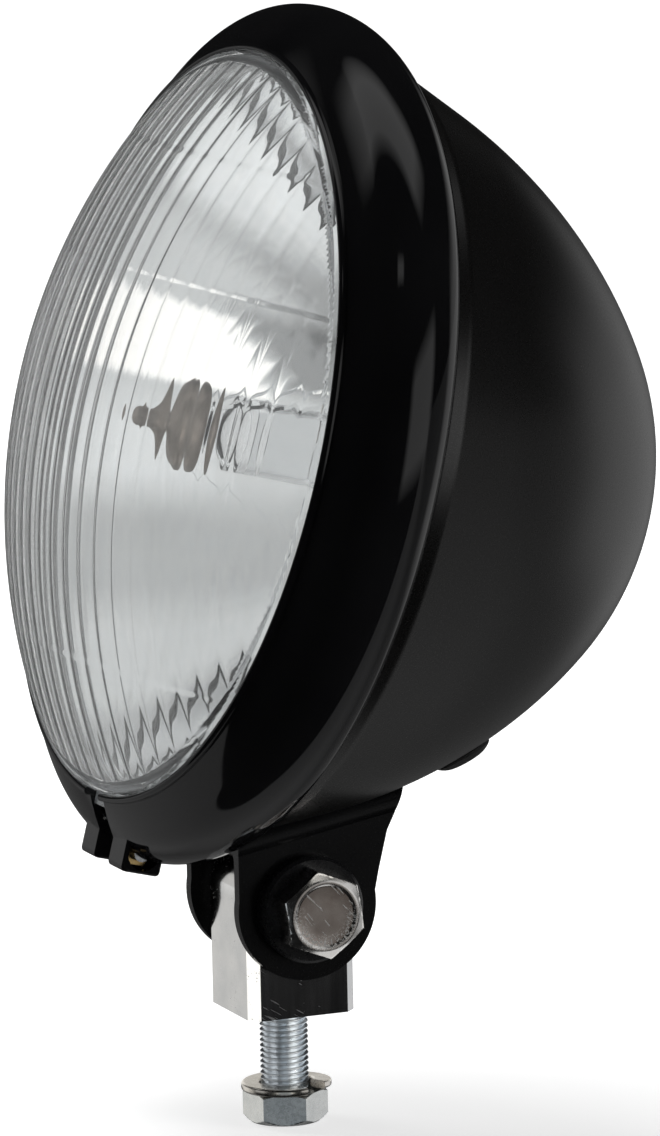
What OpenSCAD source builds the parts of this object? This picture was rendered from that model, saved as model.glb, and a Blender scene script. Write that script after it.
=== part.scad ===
// Round headlight for a motorbike, held from below by a clevis and one block.
// Millimetres. +Z is up, the lamp looks towards -Y, and +X is its left side.
// The origin is the centre of the block's bottom face, where the machine's plate lies.

/* [Aim] */
// Angle of the lamp's axis above level when the clevis stands upright
lamp_rise = 14.6; // [8:0.1:22]
// Height of the tilt axis above the block's bottom face
pivot_height = 22; // [20:0.5:30]
// Distance from the tilt axis forward to the mouth of the ring
mouth_ahead = 43.5; // [38:0.5:48]

/* [Trim ring] */
// How far the ring stands out beyond the edge of the glass
ring_stand = 8.5; // [7:0.25:11]
// How far the ring's mouth reaches in over the edge of the glass
mouth_grip = 2.7; // [2:0.1:3.5]
// Depth of the ring from mouth to rear edge
ring_depth = 22.5; // [20:0.5:25]
// Radius of the ring's front shoulder
ring_shoulder_r = 8.2; // [7:0.1:9]
// Radius of the ring's nearly flat front face
ring_front_r = 45; // [35:1:60]
// Slope of the front face where it leaves the shoulder
ring_front_slope = 33.2; // [28:0.2:38]
// Sheet thickness of the ring
ring_wall = 1.5; // [1:0.1:2]
// Width of the split at the bottom of the ring
split_width = 7; // [4:0.5:10]
// Width of each clamp ear along the screw
ear_width = 7.5; // [6:0.5:10]
// Depth of each clamp ear from front to back
ear_depth = 8; // [7.5:0.5:10]
// How far the ears stand out below the ring
ear_drop = 1.9; // [1:0.1:4]
// Sheet thickness of the clamp ears
ear_wall = 1; // [0.8:0.1:1.2]
// Diameter of the clamp screw
clamp_screw_d = 3.2; // [2.6:0.1:3.6]
// Width across flats of the clamp nut
clamp_nut_af = 5; // [4.6:0.1:5.2]
// Thickness of the clamp nut
clamp_nut_t = 2.4; // [2:0.1:3]

/* [Glass] */
// Diameter of the glass over its flange, which sets the size of the whole lamp
lens_d = 149; // [120:1:180]
// How far the dome rises above the mouth of the ring
lens_rise = 22.9; // [18:0.5:26]
// Thickness of the glass at the dome
lens_wall = 3.4; // [2.6:0.1:4]
// Thickness of the flange of the glass
lens_flange_t = 4; // [3:0.25:5]
// Width of the smooth band between the flutes and the edge of the dome
lens_band = 3.4; // [2.5:0.1:5]
// Gap between the dome and the ring's mouth
lens_gap = 0.3; // [0.2:0.1:0.6]
// Number of flutes across the glass
flute_count = 24; // [16:2:28]
// Depth of the flutes
flute_depth = 0.5; // [0.3:0.05:1]
// Step between two neighbouring bands of flutes
band_step = 0.5; // [0.2:0.1:0.6]
// Height above the centre where the top band of flutes starts
top_band_height = 50; // [45:1:55]
// Height above the centre where the middle band ends
upper_band_height = 27; // [20:1:35]
// Depth below the centre where the bottom band of flutes starts
low_band_depth = 46; // [40:1:52]

/* [Lamp unit] */
// Thickness of the seal behind the glass
seal_t = 1; // [0.6:0.1:1.5]
// Thickness of the reflector's wall
reflector_wall = 1.5; // [1:0.1:2]
// Depth of the reflector as a share of its mouth's radius
reflector_share = 0.817; // [0.78:0.005:0.85]
// Width of the reflector's flat rim
reflector_rim = 7.5; // [6:0.25:9]
// Radius of the hole at the back of the reflector
reflector_hole_r = 19; // [17:0.5:20]
// Length of the neck behind the reflector
neck_length = 7; // [5:0.5:9]
// Outer radius of the bulb shield's cup
shield_r = 8.8; // [8.5:0.1:9.5]
// Length of the bulb shield's cup
shield_length = 15; // [12:0.5:18]
// Radius of the knob on the bulb shield
shield_knob_r = 4.4; // [3:0.1:5]
// Sheet thickness of the bulb shield
shield_wall = 0.8; // [0.6:0.1:1]
// Room between the bulb's glass and the shield's cup
bulb_room = 0.8; // [0.5:0.1:1.2]
// Wall of the bulb's metal collar
bulb_collar_wall = 3.3; // [2.5:0.1:4]
// Thickness of the bulb's flange
bulb_flange_t = 1.2; // [0.8:0.1:1.6]
// Thickness of the bulb's retaining ring
retainer_t = 1; // [0.8:0.1:1.4]
// Length of the bulb's back part behind its flange
bulb_base_length = 11; // [9:0.5:13]
// Length of the bulb's blades
blade_length = 7; // [5:0.5:8]
// Width of the connector pushed on the blades
socket_width = 24; // [20:0.5:26]
// Wall of the rubber boot
boot_wall = 1.6; // [1.2:0.1:2]

/* [Shell] */
// How far the shell's neck stands out beyond the edge of the glass
neck_over = 0.7; // [0.5:0.05:1]
// Sheet thickness of the shell
shell_wall = 1.3; // [1:0.1:1.8]
// Half angle of the cone behind the ring
cone_angle = 22; // [18:0.5:24]
// Length of the cone along the lamp's axis
cone_length = 13.5; // [10:0.5:18]
// Radius of the curve from the cone to the nose
bowl_r = 110; // [100:1:125]
// Angle at which the curve passes into the nose
nose_angle = 51; // [46:0.5:56]
// Width of the shell's turned-in front edge
shell_lip = 4; // [3:0.25:5]

/* [Wire entry] */
// Angle of the wire hole round the shell from the bottom
wire_angle = 17; // [10:1:24]
// Distance of the wire hole behind the ring's mouth
wire_back = 67.5; // [64:0.5:70]
// Diameter of the grommet's domed flange
grommet_d = 11.5; // [11:0.5:14]
// Diameter of the lip in the grommet that grips the wires
grommet_bore_d = 5; // [4:0.25:5.5]
// Diameter of the hole in the shell for the grommet
grommet_hole_d = 8.5; // [8:0.25:9]
// Height of the grommet's dome above the shell
grommet_flange_t = 1.8; // [1.4:0.1:2.2]
// Thickness of the dome at its rim
grommet_edge_t = 0.5; // [0.3:0.1:0.8]
// Room round the wires behind the lip
grommet_relief = 0.5; // [0.3:0.1:0.8]

/* [Clevis] */
// Thickness of the clevis ears
clevis_wall = 2.4; // [2:0.1:3]
// Radius of the round end of each ear
clevis_end_r = 14.2; // [13:0.1:16]
// Distance of the web's underside from the tilt axis
web_height = 13.5; // [12.5:0.25:20]
// Slope of the web under the shell
web_slope = 10; // [8:0.5:12]
// Outer radius of the bend between ear and web
bend_r = 4; // [3:0.25:5]
// Distance from the tilt axis to the clevis' front edge
clevis_front = 14; // [12.5:0.5:14]
// Distance from the tilt axis to the rear edge at the shell
clevis_rear = 20.8; // [18:0.2:22]
// Side gap between each ear and the block
ear_gap = 0.3; // [0.2:0.05:0.5]
// Diameter of the rivets that hold the clevis
rivet_d = 5; // [4:0.25:5]
// Height of the rivets' heads
rivet_head_t = 1.4; // [1:0.1:1.8]
// Distance of the front rivets ahead of the tilt axis
rivet_front = 8; // [6:0.5:9]
// Distance of the rear rivets behind the tilt axis
rivet_back = 10; // [8:0.5:12]
// Spacing of the rivets from side to side
rivet_spacing = 10.5; // [9:0.5:10.5]
// Thickness of the plate inside the shell
backplate_t = 1.6; // [1.2:0.1:2]

/* [Block and bolts] */
// Width of the square block
block_w = 22; // [20:0.5:24]
// Chamfer of the block's upright edges
block_chamfer = 2; // [1:0.25:3]
// Diameter of the pivot bolt and of the mounting bolt
bolt_d = 9.5; // [8:0.1:10]
// Radial running clearance of the pivot bolt in the block
pivot_clearance = 0.07; // [0.04:0.01:0.1]
// Width across flats of the pivot bolt's head
pivot_head_af = 15; // [14:0.1:16]
// Width across flats of the mounting bolt's head
mount_head_af = 14.3; // [13:0.1:15]
// Height of the bolt heads
head_h = 6; // [5:0.25:7]
// Diameter of the collar under the pivot bolt's head
collar_d = 20.8; // [18:0.2:22]
// Thickness of the collar under the pivot bolt's head
collar_t = 3.2; // [2:0.1:4]
// Thickness of the split washers
lock_washer_t = 2.4; // [1.8:0.1:3]
// Width of the split washers' ring
lock_washer_w = 3.8; // [3:0.1:4.2]
// Space between the block and the split washer for the machine's plate
plate_space = 14; // [8:0.5:20]
// How far the mounting bolt reaches into the block
bolt_reach = 11; // [8:0.5:12]
// Depth of the block's hole past the bolt's end
bolt_room = 2; // [1:0.25:3]
// Height of the pivot nut
nut_h = 8; // [6:0.25:9]

/* [Hidden] */
$fn = 96;

// Ring: the centre of its round section, measured back from the mouth.
ring_d = lens_d + 2 * ring_stand;
mouth_r = lens_d / 2 - mouth_grip;
ring_section_r = (ring_depth + 1.5) / 2;
ring_centre_r = ring_d / 2 - ring_section_r;
ring_centre_z = -ring_section_r - 0.5;
shoulder_start = 9;
shoulder_cr = ring_centre_r + (ring_section_r - ring_shoulder_r) * cos(shoulder_start);
shoulder_cz = ring_centre_z + (ring_section_r - ring_shoulder_r) * sin(shoulder_start);
front_start = 90 - ring_front_slope;
front_cr = shoulder_cr - (ring_front_r - ring_shoulder_r) * cos(front_start);
front_cz = shoulder_cz - (ring_front_r - ring_shoulder_r) * sin(front_start);
bead_r = ring_wall / 2;
bead_z = -0.35 - bead_r;
ear_out_r = ring_d / 2 + ear_drop;
ear_front_z = -5.2;
ear_mid_z = ear_front_z - ear_depth / 2;
ear_mid_r = ear_out_r - ear_wall - clamp_nut_af / 2 - 0.3;
ear_x = split_width / 2 + ear_width;
screw_head_d = 1.9 * clamp_screw_d;
screw_slot = clamp_screw_d / 4;
nut_pocket = clamp_nut_af + 0.5;

// Glass: one sphere outside, bands of tori inside.
lens_face_r = mouth_r - lens_gap;
lens_R = (lens_face_r * lens_face_r + lens_rise * lens_rise) / (2 * lens_rise);
lens_centre_z = lens_rise - lens_R;
lens_front_z = -ring_wall - 1.4;
lens_back_z = lens_front_z - lens_flange_t;
lens_in_r = lens_face_r - lens_band;
lens_in_R = lens_R - lens_wall;
flute_pitch = 2 * asin(lens_in_r / lens_in_R) / flute_count;
flute_half = lens_in_R * sin(flute_pitch / 2);
flute_r = (flute_half * flute_half + flute_depth * flute_depth) / (2 * flute_depth);

// Lamp unit, stacked behind the glass.
seal_back_z = lens_back_z - seal_t;
flange_back_z = seal_back_z - reflector_wall;
reflector_mouth_r = lens_d / 2 - reflector_rim;
reflector_focus = reflector_mouth_r / (4 * reflector_share);
vertex_z = seal_back_z - reflector_mouth_r * reflector_mouth_r / (4 * reflector_focus);
hole_z = vertex_z + reflector_hole_r * reflector_hole_r / (4 * reflector_focus);
neck_z = hole_z - neck_length;
unit_r = lens_d / 2;
shield_front_z = 2;
shield_rear_z = shield_front_z - shield_length;
leg_foot_r = reflector_hole_r + 4;
leg_foot_z = vertex_z + leg_foot_r * leg_foot_r / (4 * reflector_focus);
bulb_tip_z = shield_rear_z + 3;
bulb_r = shield_r - shield_wall - bulb_room;
bulb_collar_r = bulb_r + bulb_collar_wall;
bulb_flange_z = neck_z;
retainer_z = bulb_flange_z - bulb_flange_t;
base_back_z = retainer_z - bulb_base_length;

// Shell, as radius and position along the lamp's axis.
neck_r = lens_d / 2 + neck_over;
cone_z = -ring_depth - 3.5;
cone_end_z = cone_z - cone_length;
cone_end_r = neck_r - cone_length * tan(cone_angle);
bowl_cr = cone_end_r - bowl_r * cos(cone_angle);
bowl_cz = cone_end_z + bowl_r * sin(cone_angle);
nose_start_r = bowl_cr + bowl_r * cos(nose_angle);
nose_start_z = bowl_cz - bowl_r * sin(nose_angle);
nose_r = nose_start_r / cos(nose_angle);
nose_cz = nose_start_z + nose_r * sin(nose_angle);

// The clevis' web is tangent to the bowl, which sets how high the lamp's axis lies.
web_touch = web_slope + lamp_rise;
touch_r = bowl_cr + bowl_r * cos(web_touch);
touch_z = bowl_cz - bowl_r * sin(web_touch);
web_top = web_height + clevis_wall;
axis_height = touch_r + (web_top - (mouth_ahead + touch_z) * sin(web_touch)) / cos(web_touch);

// Wire hole: where it lies on the bowl and which way it faces.
wire_lean = asin((bowl_cz + wire_back) / bowl_r);
grommet_dome_w = (grommet_d - grommet_bore_d) / 2;
grommet_dome_h = grommet_flange_t - grommet_edge_t;
grommet_dome_r = (grommet_dome_w * grommet_dome_w + grommet_dome_h * grommet_dome_h) / (2 * grommet_dome_h);
wire_r = bowl_cr + bowl_r * cos(wire_lean);

// Clevis and bolts along X.
ear_in_x = block_w / 2 + ear_gap;
ear_out_x = ear_in_x + clevis_wall;
head_x = ear_out_x + collar_t;
lock_x = ear_out_x + lock_washer_t;
nut_x = lock_x + nut_h;
bolt_end_x = nut_x + 2;
shank_r = bolt_d / 2;
bolt_point = shank_r / 6;
block_top_r = block_w / 2;
mount_head_z = -plate_space - lock_washer_t;
rivet_y = [-rivet_front, rivet_back];
rivet_grip = clevis_wall + 0.4 + shell_wall + backplate_t;
rivet_sink = 1.5 * rivet_head_t;
clevis_long = 2 * (clevis_rear + clevis_end_r + web_height);
clevis_wide = 2 * ear_out_x + 2 * bend_r;
washer_lift = 1.1;

// Places children given in the lamp's own frame: z forward from the ring's mouth, y up.
module lamp() {
  translate([0, 0, pivot_height])
    rotate([90 - lamp_rise, 0, 0])
      translate([0, axis_height, mouth_ahead])
        children();
}

// Places children given from the tilt axis.
module pivot() {
  translate([0, 0, pivot_height])
    children();
}

// Places children in the frame of the clevis' web.
module web_frame() {
  pivot()
    rotate([web_slope, 0, 0])
      children();
}

// Points of an arc in the outline, as radius and position, from one angle to another.
function arc_points(cr, cz, r, from, to, steps) =
  [for (i = [0 : steps]) let (a = from + (to - from) * i / steps) [cr + r * cos(a), cz - r * sin(a)]];

// Outline of the bowl at a given distance inside its outer face: neck, cone, curve and nose.
module bowl_outline(inset, front_z) {
  bowl = arc_points(bowl_cr, bowl_cz, bowl_r - inset, cone_angle, nose_angle, 12);
  nose = arc_points(0, nose_cz, nose_r - inset, nose_angle, 90, 13);
  neck = neck_r - inset;
  neck_join_z = bowl[0][1] + (neck - bowl[0][0]) / tan(cone_angle);
  polygon(concat(
    [[0, front_z], [neck, front_z], [neck, neck_join_z]],
    bowl,
    [for (i = [1 : 12]) nose[i]],
    [[0, nose[13][1]]]
  ));
}

// The closed form of the shell, for what is cut to it.
module shell_form(inset = 0) {
  rotate_extrude()
    bowl_outline(inset, flange_back_z);
}

// Places children at the wire hole, with z pointing out of the shell.
module wire_place() {
  rotate([0, 0, wire_angle])
    translate([0, -wire_r, -wire_back])
      rotate([90 + wire_lean, 0, 0])
        children();
}

module shell() {
  color([0.05, 0.05, 0.06])
    difference() {
      lamp()
        difference() {
          shell_form();
          rotate_extrude()
            bowl_outline(shell_wall, flange_back_z - shell_wall);
          translate([0, 0, flange_back_z - 2 * shell_wall])
            cylinder(r = neck_r - shell_lip, h = 3 * shell_wall);
          wire_place()
            cylinder(d = grommet_hole_d, h = 12, center = true);
        }
      rivet_holes();
    }
}

// Angle on an arc of the ring at which it reaches a radius, towards the front.
function ring_reach(cr, r, reach) = -acos((reach - cr) / r);

// The ring's outer or inner skin, from the rear edge round to the front.
function ring_skin(inset, rear, reach) = concat(
  arc_points(ring_centre_r, ring_centre_z, ring_section_r - inset, rear, -shoulder_start, 12),
  [for (i = [1 : 8])
    arc_points(shoulder_cr, shoulder_cz, ring_shoulder_r - inset, -shoulder_start, -front_start, 8)[i]],
  [for (i = [1 : 4])
    arc_points(front_cr, front_cz, ring_front_r - inset,
      -front_start, ring_reach(front_cr, ring_front_r - inset, reach), 4)[i]]
);

module ring_outline() {
  seat_r = lens_d / 2 + lens_gap;
  clear_r = neck_r + lens_gap;
  rear_out = asin((ring_depth + ring_centre_z) / ring_section_r);
  rear_in = acos((clear_r - ring_centre_r) / (ring_section_r - ring_wall));
  inner = ring_skin(ring_wall, rear_in, seat_r);
  polygon(concat(
    ring_skin(0, rear_out, mouth_r + 1.9 * bead_r),
    arc_points(mouth_r + bead_r, bead_z, bead_r, 0, -180, 10),
    [[mouth_r, lens_front_z], [seat_r, lens_front_z]],
    [for (i = [len(inner) - 1 : -1 : 0]) inner[i]],
    [[clear_r, -ring_depth]]
  ));
}

module clamp_ear(side) {
  translate([side * (split_width / 2 + ear_width / 2), -(neck_r + 1.6 + ear_out_r) / 2, ear_mid_z])
    cube([ear_width, ear_out_r - neck_r - 1.6, ear_depth], center = true);
}

module trim_ring() {
  color([0.02, 0.02, 0.025])
    lamp()
      difference() {
        union() {
          difference() {
            rotate_extrude()
              ring_outline();
            translate([-split_width / 2, -ring_d, -1.2 * ring_depth])
              cube([split_width, ring_d, 1.4 * ring_depth]);
          }
          for (side = [-1, 1])
            clamp_ear(side);
        }
        translate([0, -ear_mid_r, ear_mid_z])
          rotate([0, 90, 0])
            cylinder(d = clamp_screw_d + 0.2, h = 2 * ear_x + 4, center = true);
        translate([split_width / 2 + 2, -ear_mid_r, ear_mid_z])
          rotate([0, 90, 0])
            cylinder(d = nut_pocket / cos(30), h = ear_width - 1.5);
        translate([-ear_x - 4, -ear_mid_r, ear_mid_z])
          rotate([0, 90, 0])
            cylinder(d = screw_head_d + 0.6, h = 4);
      }
}

module ring_clamp_screw() {
  color([0.75, 0.75, 0.72])
    lamp()
      translate([0, -ear_mid_r, ear_mid_z])
        rotate([0, 90, 0]) {
          translate([0, 0, -ear_x - 2])
            cylinder(d = clamp_screw_d, h = 2 * ear_x + 1);
          translate([0, 0, -ear_x - 2.2])
            difference() {
              cylinder(d1 = 0.85 * screw_head_d, d2 = screw_head_d, h = 2.2);
              translate([-screw_slot / 2, -screw_head_d, -screw_slot / 8])
                cube([screw_slot, 2 * screw_head_d, 1.2 * screw_slot]);
            }
        }
}

module ring_clamp_nut() {
  color([0.7, 0.52, 0.25])
    lamp()
      translate([split_width / 2 + 2, -ear_mid_r, ear_mid_z])
        rotate([0, 90, 0])
          difference() {
            cylinder(d = clamp_nut_af / cos(30), h = clamp_nut_t, $fn = 6);
            translate([0, 0, -1])
              cylinder(d = clamp_screw_d + 0.04, h = clamp_nut_t + 2);
          }
}

// One band of flutes: a scalloped outline turned about a level axis through the dome's centre.
module flute_band(low, high, deeper) {
  R = lens_in_R + deeper;
  translate([0, 0, lens_centre_z])
    rotate([0, -90, 0])
      rotate([0, 0, low])
        rotate_extrude(angle = high - low)
          intersection() {
            union() {
              circle(r = R);
              for (i = [0 : flute_count - 1])
                rotate((i - (flute_count - 1) / 2) * flute_pitch)
                  translate([R + flute_depth - flute_r, 0])
                    circle(r = flute_r);
            }
            translate([R / 2, -lens_in_r - 2])
              square([R, 2 * lens_in_r + 4]);
          }
}

module flute_cut(low, high, deeper) {
  intersection() {
    translate([0, 0, lens_back_z - 1])
      cylinder(r = lens_in_r, h = lens_rise - lens_back_z + 5);
    flute_band(low, high, deeper);
  }
}

module lens() {
  top = asin(top_band_height / lens_in_R);
  upper = asin(upper_band_height / lens_in_R);
  low = asin(low_band_depth / lens_in_R);
  color([0.85, 0.9, 0.92, 0.5])
    lamp()
      difference() {
        union() {
          intersection() {
            translate([0, 0, lens_centre_z])
              sphere(r = lens_R);
            translate([0, 0, lens_back_z])
              cylinder(r = lens_face_r, h = lens_rise - lens_back_z + 5);
          }
          translate([0, 0, lens_back_z])
            cylinder(d = lens_d, h = lens_flange_t);
        }
        flute_cut(-40, 40, 0);
        flute_cut(upper, top, band_step);
        flute_cut(-40, -low, band_step);
      }
}

module lens_seal() {
  color([0.15, 0.15, 0.15])
    lamp()
      translate([0, 0, seal_back_z])
        difference() {
          cylinder(r = unit_r, h = seal_t);
          translate([0, 0, -1])
            cylinder(r = lens_in_r + 0.6, h = seal_t + 2);
        }
}

function bowl_z(r) = vertex_z + r * r / (4 * reflector_focus);
function bowl_front(r) = [r, bowl_z(r)];
function bowl_back(r) =
  let (s = r / (2 * reflector_focus), n = sqrt(1 + s * s))
  [r + reflector_wall * s / n, bowl_z(r) - reflector_wall / n];
reflector_steps = 14;
function bowl_step(i) = reflector_hole_r + (reflector_mouth_r - reflector_hole_r) * i / reflector_steps;

module reflector() {
  seat_r = bulb_collar_r + 0.1;
  neck_out = reflector_hole_r + reflector_wall;
  color([0.85, 0.86, 0.88])
    lamp()
      rotate_extrude()
        polygon(concat(
          [[seat_r, neck_z], [seat_r, neck_z + reflector_wall], [reflector_hole_r, neck_z + reflector_wall]],
          [for (i = [0 : reflector_steps]) bowl_front(bowl_step(i))],
          [[unit_r, seal_back_z], [unit_r, flange_back_z]],
          [for (i = [reflector_steps : -1 : 1]) bowl_back(bowl_step(i))],
          [[neck_out, bowl_z(neck_out) - reflector_wall], [neck_out, neck_z]]
        ));
}

module bulb_shield() {
  color([0.3, 0.27, 0.25])
    lamp() {
      rotate_extrude()
        difference() {
          union() {
            translate([0, shield_rear_z])
              square([shield_r, shield_length - shield_r * 0.4]);
            intersection() {
              translate([0, shield_front_z - shield_r * 0.4])
                scale([1, 1])
                  circle(r = shield_r);
              translate([0, shield_front_z - shield_r * 0.4])
                square([shield_r, shield_r * 0.4]);
            }
            translate([0, shield_front_z - 1])
              square([shield_knob_r, 3.6]);
            intersection() {
              translate([0, shield_front_z + 2.6])
                circle(r = shield_knob_r);
              translate([0, shield_front_z + 2.6])
                square([shield_knob_r, shield_knob_r * 0.6]);
            }
          }
          translate([0, shield_rear_z - 1])
            square([shield_r - shield_wall, shield_length - shield_r * 0.4 - 1]);
        }
      for (a = [35, 145, 270])
        rotate([0, 0, a])
          hull() {
            translate([shield_r - shield_wall - 0.2, -1.5, shield_rear_z + 2])
              cube([shield_wall, 3, 1]);
            translate([leg_foot_r, -1.5, leg_foot_z + 0.6])
              cube([shield_wall, 3, 1]);
          }
      for (a = [35, 145, 270])
        rotate([0, 0, a])
          translate([leg_foot_r, 0, leg_foot_z + 0.15])
            rotate([0, -atan(leg_foot_r / (2 * reflector_focus)), 0])
              translate([-2, -2.5, 0])
                cube([4, 5, 0.9]);
    }
}

module bulb_glass() {
  color([0.9, 0.92, 0.95, 0.6])
    lamp()
      rotate_extrude()
        difference() {
          union() {
            translate([0, bulb_flange_z])
              square([bulb_r, bulb_tip_z - bulb_r * 0.6 - bulb_flange_z]);
            intersection() {
              translate([0, bulb_tip_z - bulb_r])
                circle(r = bulb_r);
              translate([0, bulb_tip_z - bulb_r])
                square([bulb_r, bulb_r]);
            }
          }
          translate([0, bulb_flange_z + 3])
            square([bulb_r - 1, bulb_tip_z - bulb_r - bulb_flange_z - 3]);
        }
}

module bulb_base() {
  color([0.7, 0.7, 0.68])
    lamp()
      difference() {
        union() {
          translate([0, 0, bulb_flange_z])
            difference() {
              cylinder(r = bulb_collar_r, h = 8);
              translate([0, 0, -1])
                cylinder(r = bulb_r + 0.05, h = 10);
            }
          translate([0, 0, retainer_z])
            cylinder(r = reflector_hole_r - 1, h = bulb_flange_t);
          translate([0, 0, base_back_z])
            cylinder(r = bulb_collar_r, h = bulb_base_length + bulb_flange_t);
        }
        for (p = [[0, 4, 0], [4, -1, 90], [-4, -1, 90]])
          translate([p[0], p[1], base_back_z - 1])
            rotate([0, 0, p[2]])
              translate([-3.3, -0.55, 0])
                cube([6.6, 1.1, 4]);
      }
}

module bulb_terminals() {
  color([0.8, 0.78, 0.7])
    lamp()
      for (p = [[0, 4, 0], [4, -1, 90], [-4, -1, 90]])
        translate([p[0], p[1], base_back_z - blade_length])
          rotate([0, 0, p[2]])
            translate([-3.15, -0.4, 0])
              cube([6.3, 0.8, blade_length + 3]);
}

module bulb_retainer() {
  color([0.6, 0.6, 0.6])
    lamp()
      translate([0, 0, retainer_z - retainer_t])
        difference() {
          union() {
            cylinder(r = reflector_hole_r - 0.6, h = retainer_t);
            for (a = [90, 210, 330])
              rotate([0, 0, a])
                translate([0, -2.5, 0])
                  cube([reflector_hole_r + reflector_wall - 0.4, 5, retainer_t]);
          }
          translate([0, 0, -1])
            cylinder(r = bulb_collar_r + 0.5, h = retainer_t + 2);
        }
}

module bulb_socket() {
  color([0.12, 0.12, 0.12])
    lamp()
      difference() {
        translate([0, 0, base_back_z - blade_length - 1.5])
          linear_extrude(height = blade_length + 1.4)
            intersection() {
              square([socket_width, socket_width * 0.8], center = true);
              circle(d = socket_width * 1.12);
            }
        for (p = [[0, 4, 0], [4, -1, 90], [-4, -1, 90]])
          translate([p[0], p[1], base_back_z - blade_length])
            rotate([0, 0, p[2]])
              translate([-3.25, -0.5, 0])
                cube([6.5, 1, blade_length + 3]);
      }
}

module dust_boot() {
  color([0.1, 0.1, 0.1])
    lamp()
      rotate_extrude()
        polygon([
          [reflector_hole_r + reflector_wall + 0.1, hole_z - 3],
          [reflector_hole_r + reflector_wall + boot_wall, hole_z - 3],
          [reflector_hole_r + reflector_wall + boot_wall, neck_z - bulb_flange_t - 3],
          [bulb_collar_r + 0.1 + boot_wall, base_back_z + 4],
          [bulb_collar_r + 0.1 + boot_wall, base_back_z + 0.2],
          [bulb_collar_r + 0.1, base_back_z + 0.2],
          [bulb_collar_r + 0.1, base_back_z + 4],
          [reflector_hole_r + reflector_wall + 0.1, neck_z - bulb_flange_t - 2]
        ]);
}

module wire_grommet() {
  color([0.08, 0.08, 0.08])
    lamp()
      wire_place()
        rotate_extrude()
          difference() {
            union() {
              intersection() {
                square([grommet_d / 2, grommet_flange_t]);
                translate([grommet_bore_d / 2, grommet_flange_t - grommet_dome_r])
                  circle(r = grommet_dome_r);
              }
              translate([0, -shell_wall - grommet_flange_t])
                square([grommet_hole_d / 2, shell_wall + grommet_flange_t + 0.3]);
              translate([0, -shell_wall - 2 * grommet_flange_t])
                square([grommet_d / 2 - 0.5, grommet_flange_t]);
            }
            translate([0, -10])
              square([grommet_bore_d / 2, 20]);
            translate([0, -10])
              square([grommet_bore_d / 2 + grommet_relief, 10.1]);
          }
}

// Side outline of the clevis above its round end, from the tilt axis.
module clevis_side() {
  polygon([
    [-clevis_front, 0],
    [-clevis_front, web_top + 6.6],
    [clevis_rear + 0.6, web_top + 6.6],
    [clevis_rear - 4, web_height],
    [clevis_end_r + 0.7, 6],
    [clevis_end_r * 0.9, -4],
    [-clevis_front * 0.9, -4]
  ]);
}

// End view of the clevis: two ears and a web with round bends.
module clevis_section() {
  difference() {
    union() {
      translate([-ear_out_x, -1.5 * clevis_end_r])
        square([2 * ear_out_x, 1.5 * clevis_end_r + web_height]);
      translate([-ear_out_x + bend_r, 0])
        square([2 * (ear_out_x - bend_r), web_height + bend_r + 1]);
      for (side = [-1, 1])
        translate([side * (ear_out_x - bend_r), web_height + 1])
          circle(r = bend_r);
    }
    difference() {
      translate([-ear_in_x, -1.6 * clevis_end_r])
        square([2 * ear_in_x, 1.6 * clevis_end_r + web_height]);
      for (side = [-1, 1])
        translate([side * ear_in_x, web_height])
          difference() {
            square([3, 3], center = true);
            translate([-side * 1.5, -1.5])
              circle(r = 1.5);
          }
    }
  }
}

module rivet_holes() {
  web_frame()
    for (x = [-1, 1])
      for (y = rivet_y)
        translate([x * rivet_spacing / 2, y, web_height - rivet_head_t])
          cylinder(d = rivet_d + 0.02, h = rivet_grip + 5 * rivet_head_t);
}

module clevis() {
  color([0.03, 0.03, 0.03])
    difference() {
      intersection() {
        web_frame()
          rotate([90, 0, 0])
            linear_extrude(height = clevis_long, center = true)
              clevis_section();
        pivot()
          union() {
            rotate([0, 90, 0])
              cylinder(r = clevis_end_r, h = clevis_wide, center = true);
            rotate([90, 0, 90])
              linear_extrude(height = clevis_wide, center = true)
                clevis_side();
          }
      }
      lamp()
        shell_form();
      pivot()
        rotate([0, 90, 0])
          cylinder(r = shank_r + 0.02, h = 2 * clevis_wide, center = true);
      rivet_holes();
    }
}

module rivet_places() {
  web_frame()
    for (x = [-1, 1])
      for (y = rivet_y)
        translate([x * rivet_spacing / 2, y, web_height])
          children();
}

module clevis_rivets() {
  color([0.3, 0.3, 0.3]) {
    rivet_places()
      translate([0, 0, -rivet_head_t])
        cylinder(r1 = rivet_d * 0.55, r2 = rivet_d * 0.85, h = rivet_head_t);
    rivet_places()
      translate([0, 0, -rivet_head_t / 10])
        cylinder(d = rivet_d, h = rivet_grip + rivet_head_t);
    intersection() {
      rivet_places()
        translate([0, 0, rivet_grip - rivet_sink])
          cylinder(r1 = rivet_d * 0.9, r2 = rivet_d * 0.6, h = rivet_sink + 1.6 * rivet_head_t);
      lamp()
        shell_form(shell_wall + backplate_t);
    }
  }
}

module clevis_backplate() {
  plate_edge = 1.2 * rivet_d;
  color([0.4, 0.4, 0.4])
    difference() {
      intersection() {
        lamp()
          difference() {
            shell_form(shell_wall);
            shell_form(shell_wall + backplate_t);
          }
        web_frame()
          translate([-rivet_spacing / 2 - plate_edge, -rivet_front - plate_edge, 0])
            cube([rivet_spacing + 2 * plate_edge, rivet_front + rivet_back + 2 * plate_edge, clevis_long]);
      }
      rivet_holes();
    }
}

// Hex head from x = 0 outward, with its outer corners chamfered.
module hex_head(af, h) {
  intersection() {
    rotate([0, 0, 7])
      cylinder(d = af / cos(30), h = h, $fn = 6);
    union() {
      cylinder(d = af * 1.2, h = h - 1.1);
      translate([0, 0, h - 1.1])
        cylinder(r1 = af * 0.6, r2 = af * 0.46, h = 1.1);
    }
  }
}

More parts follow.
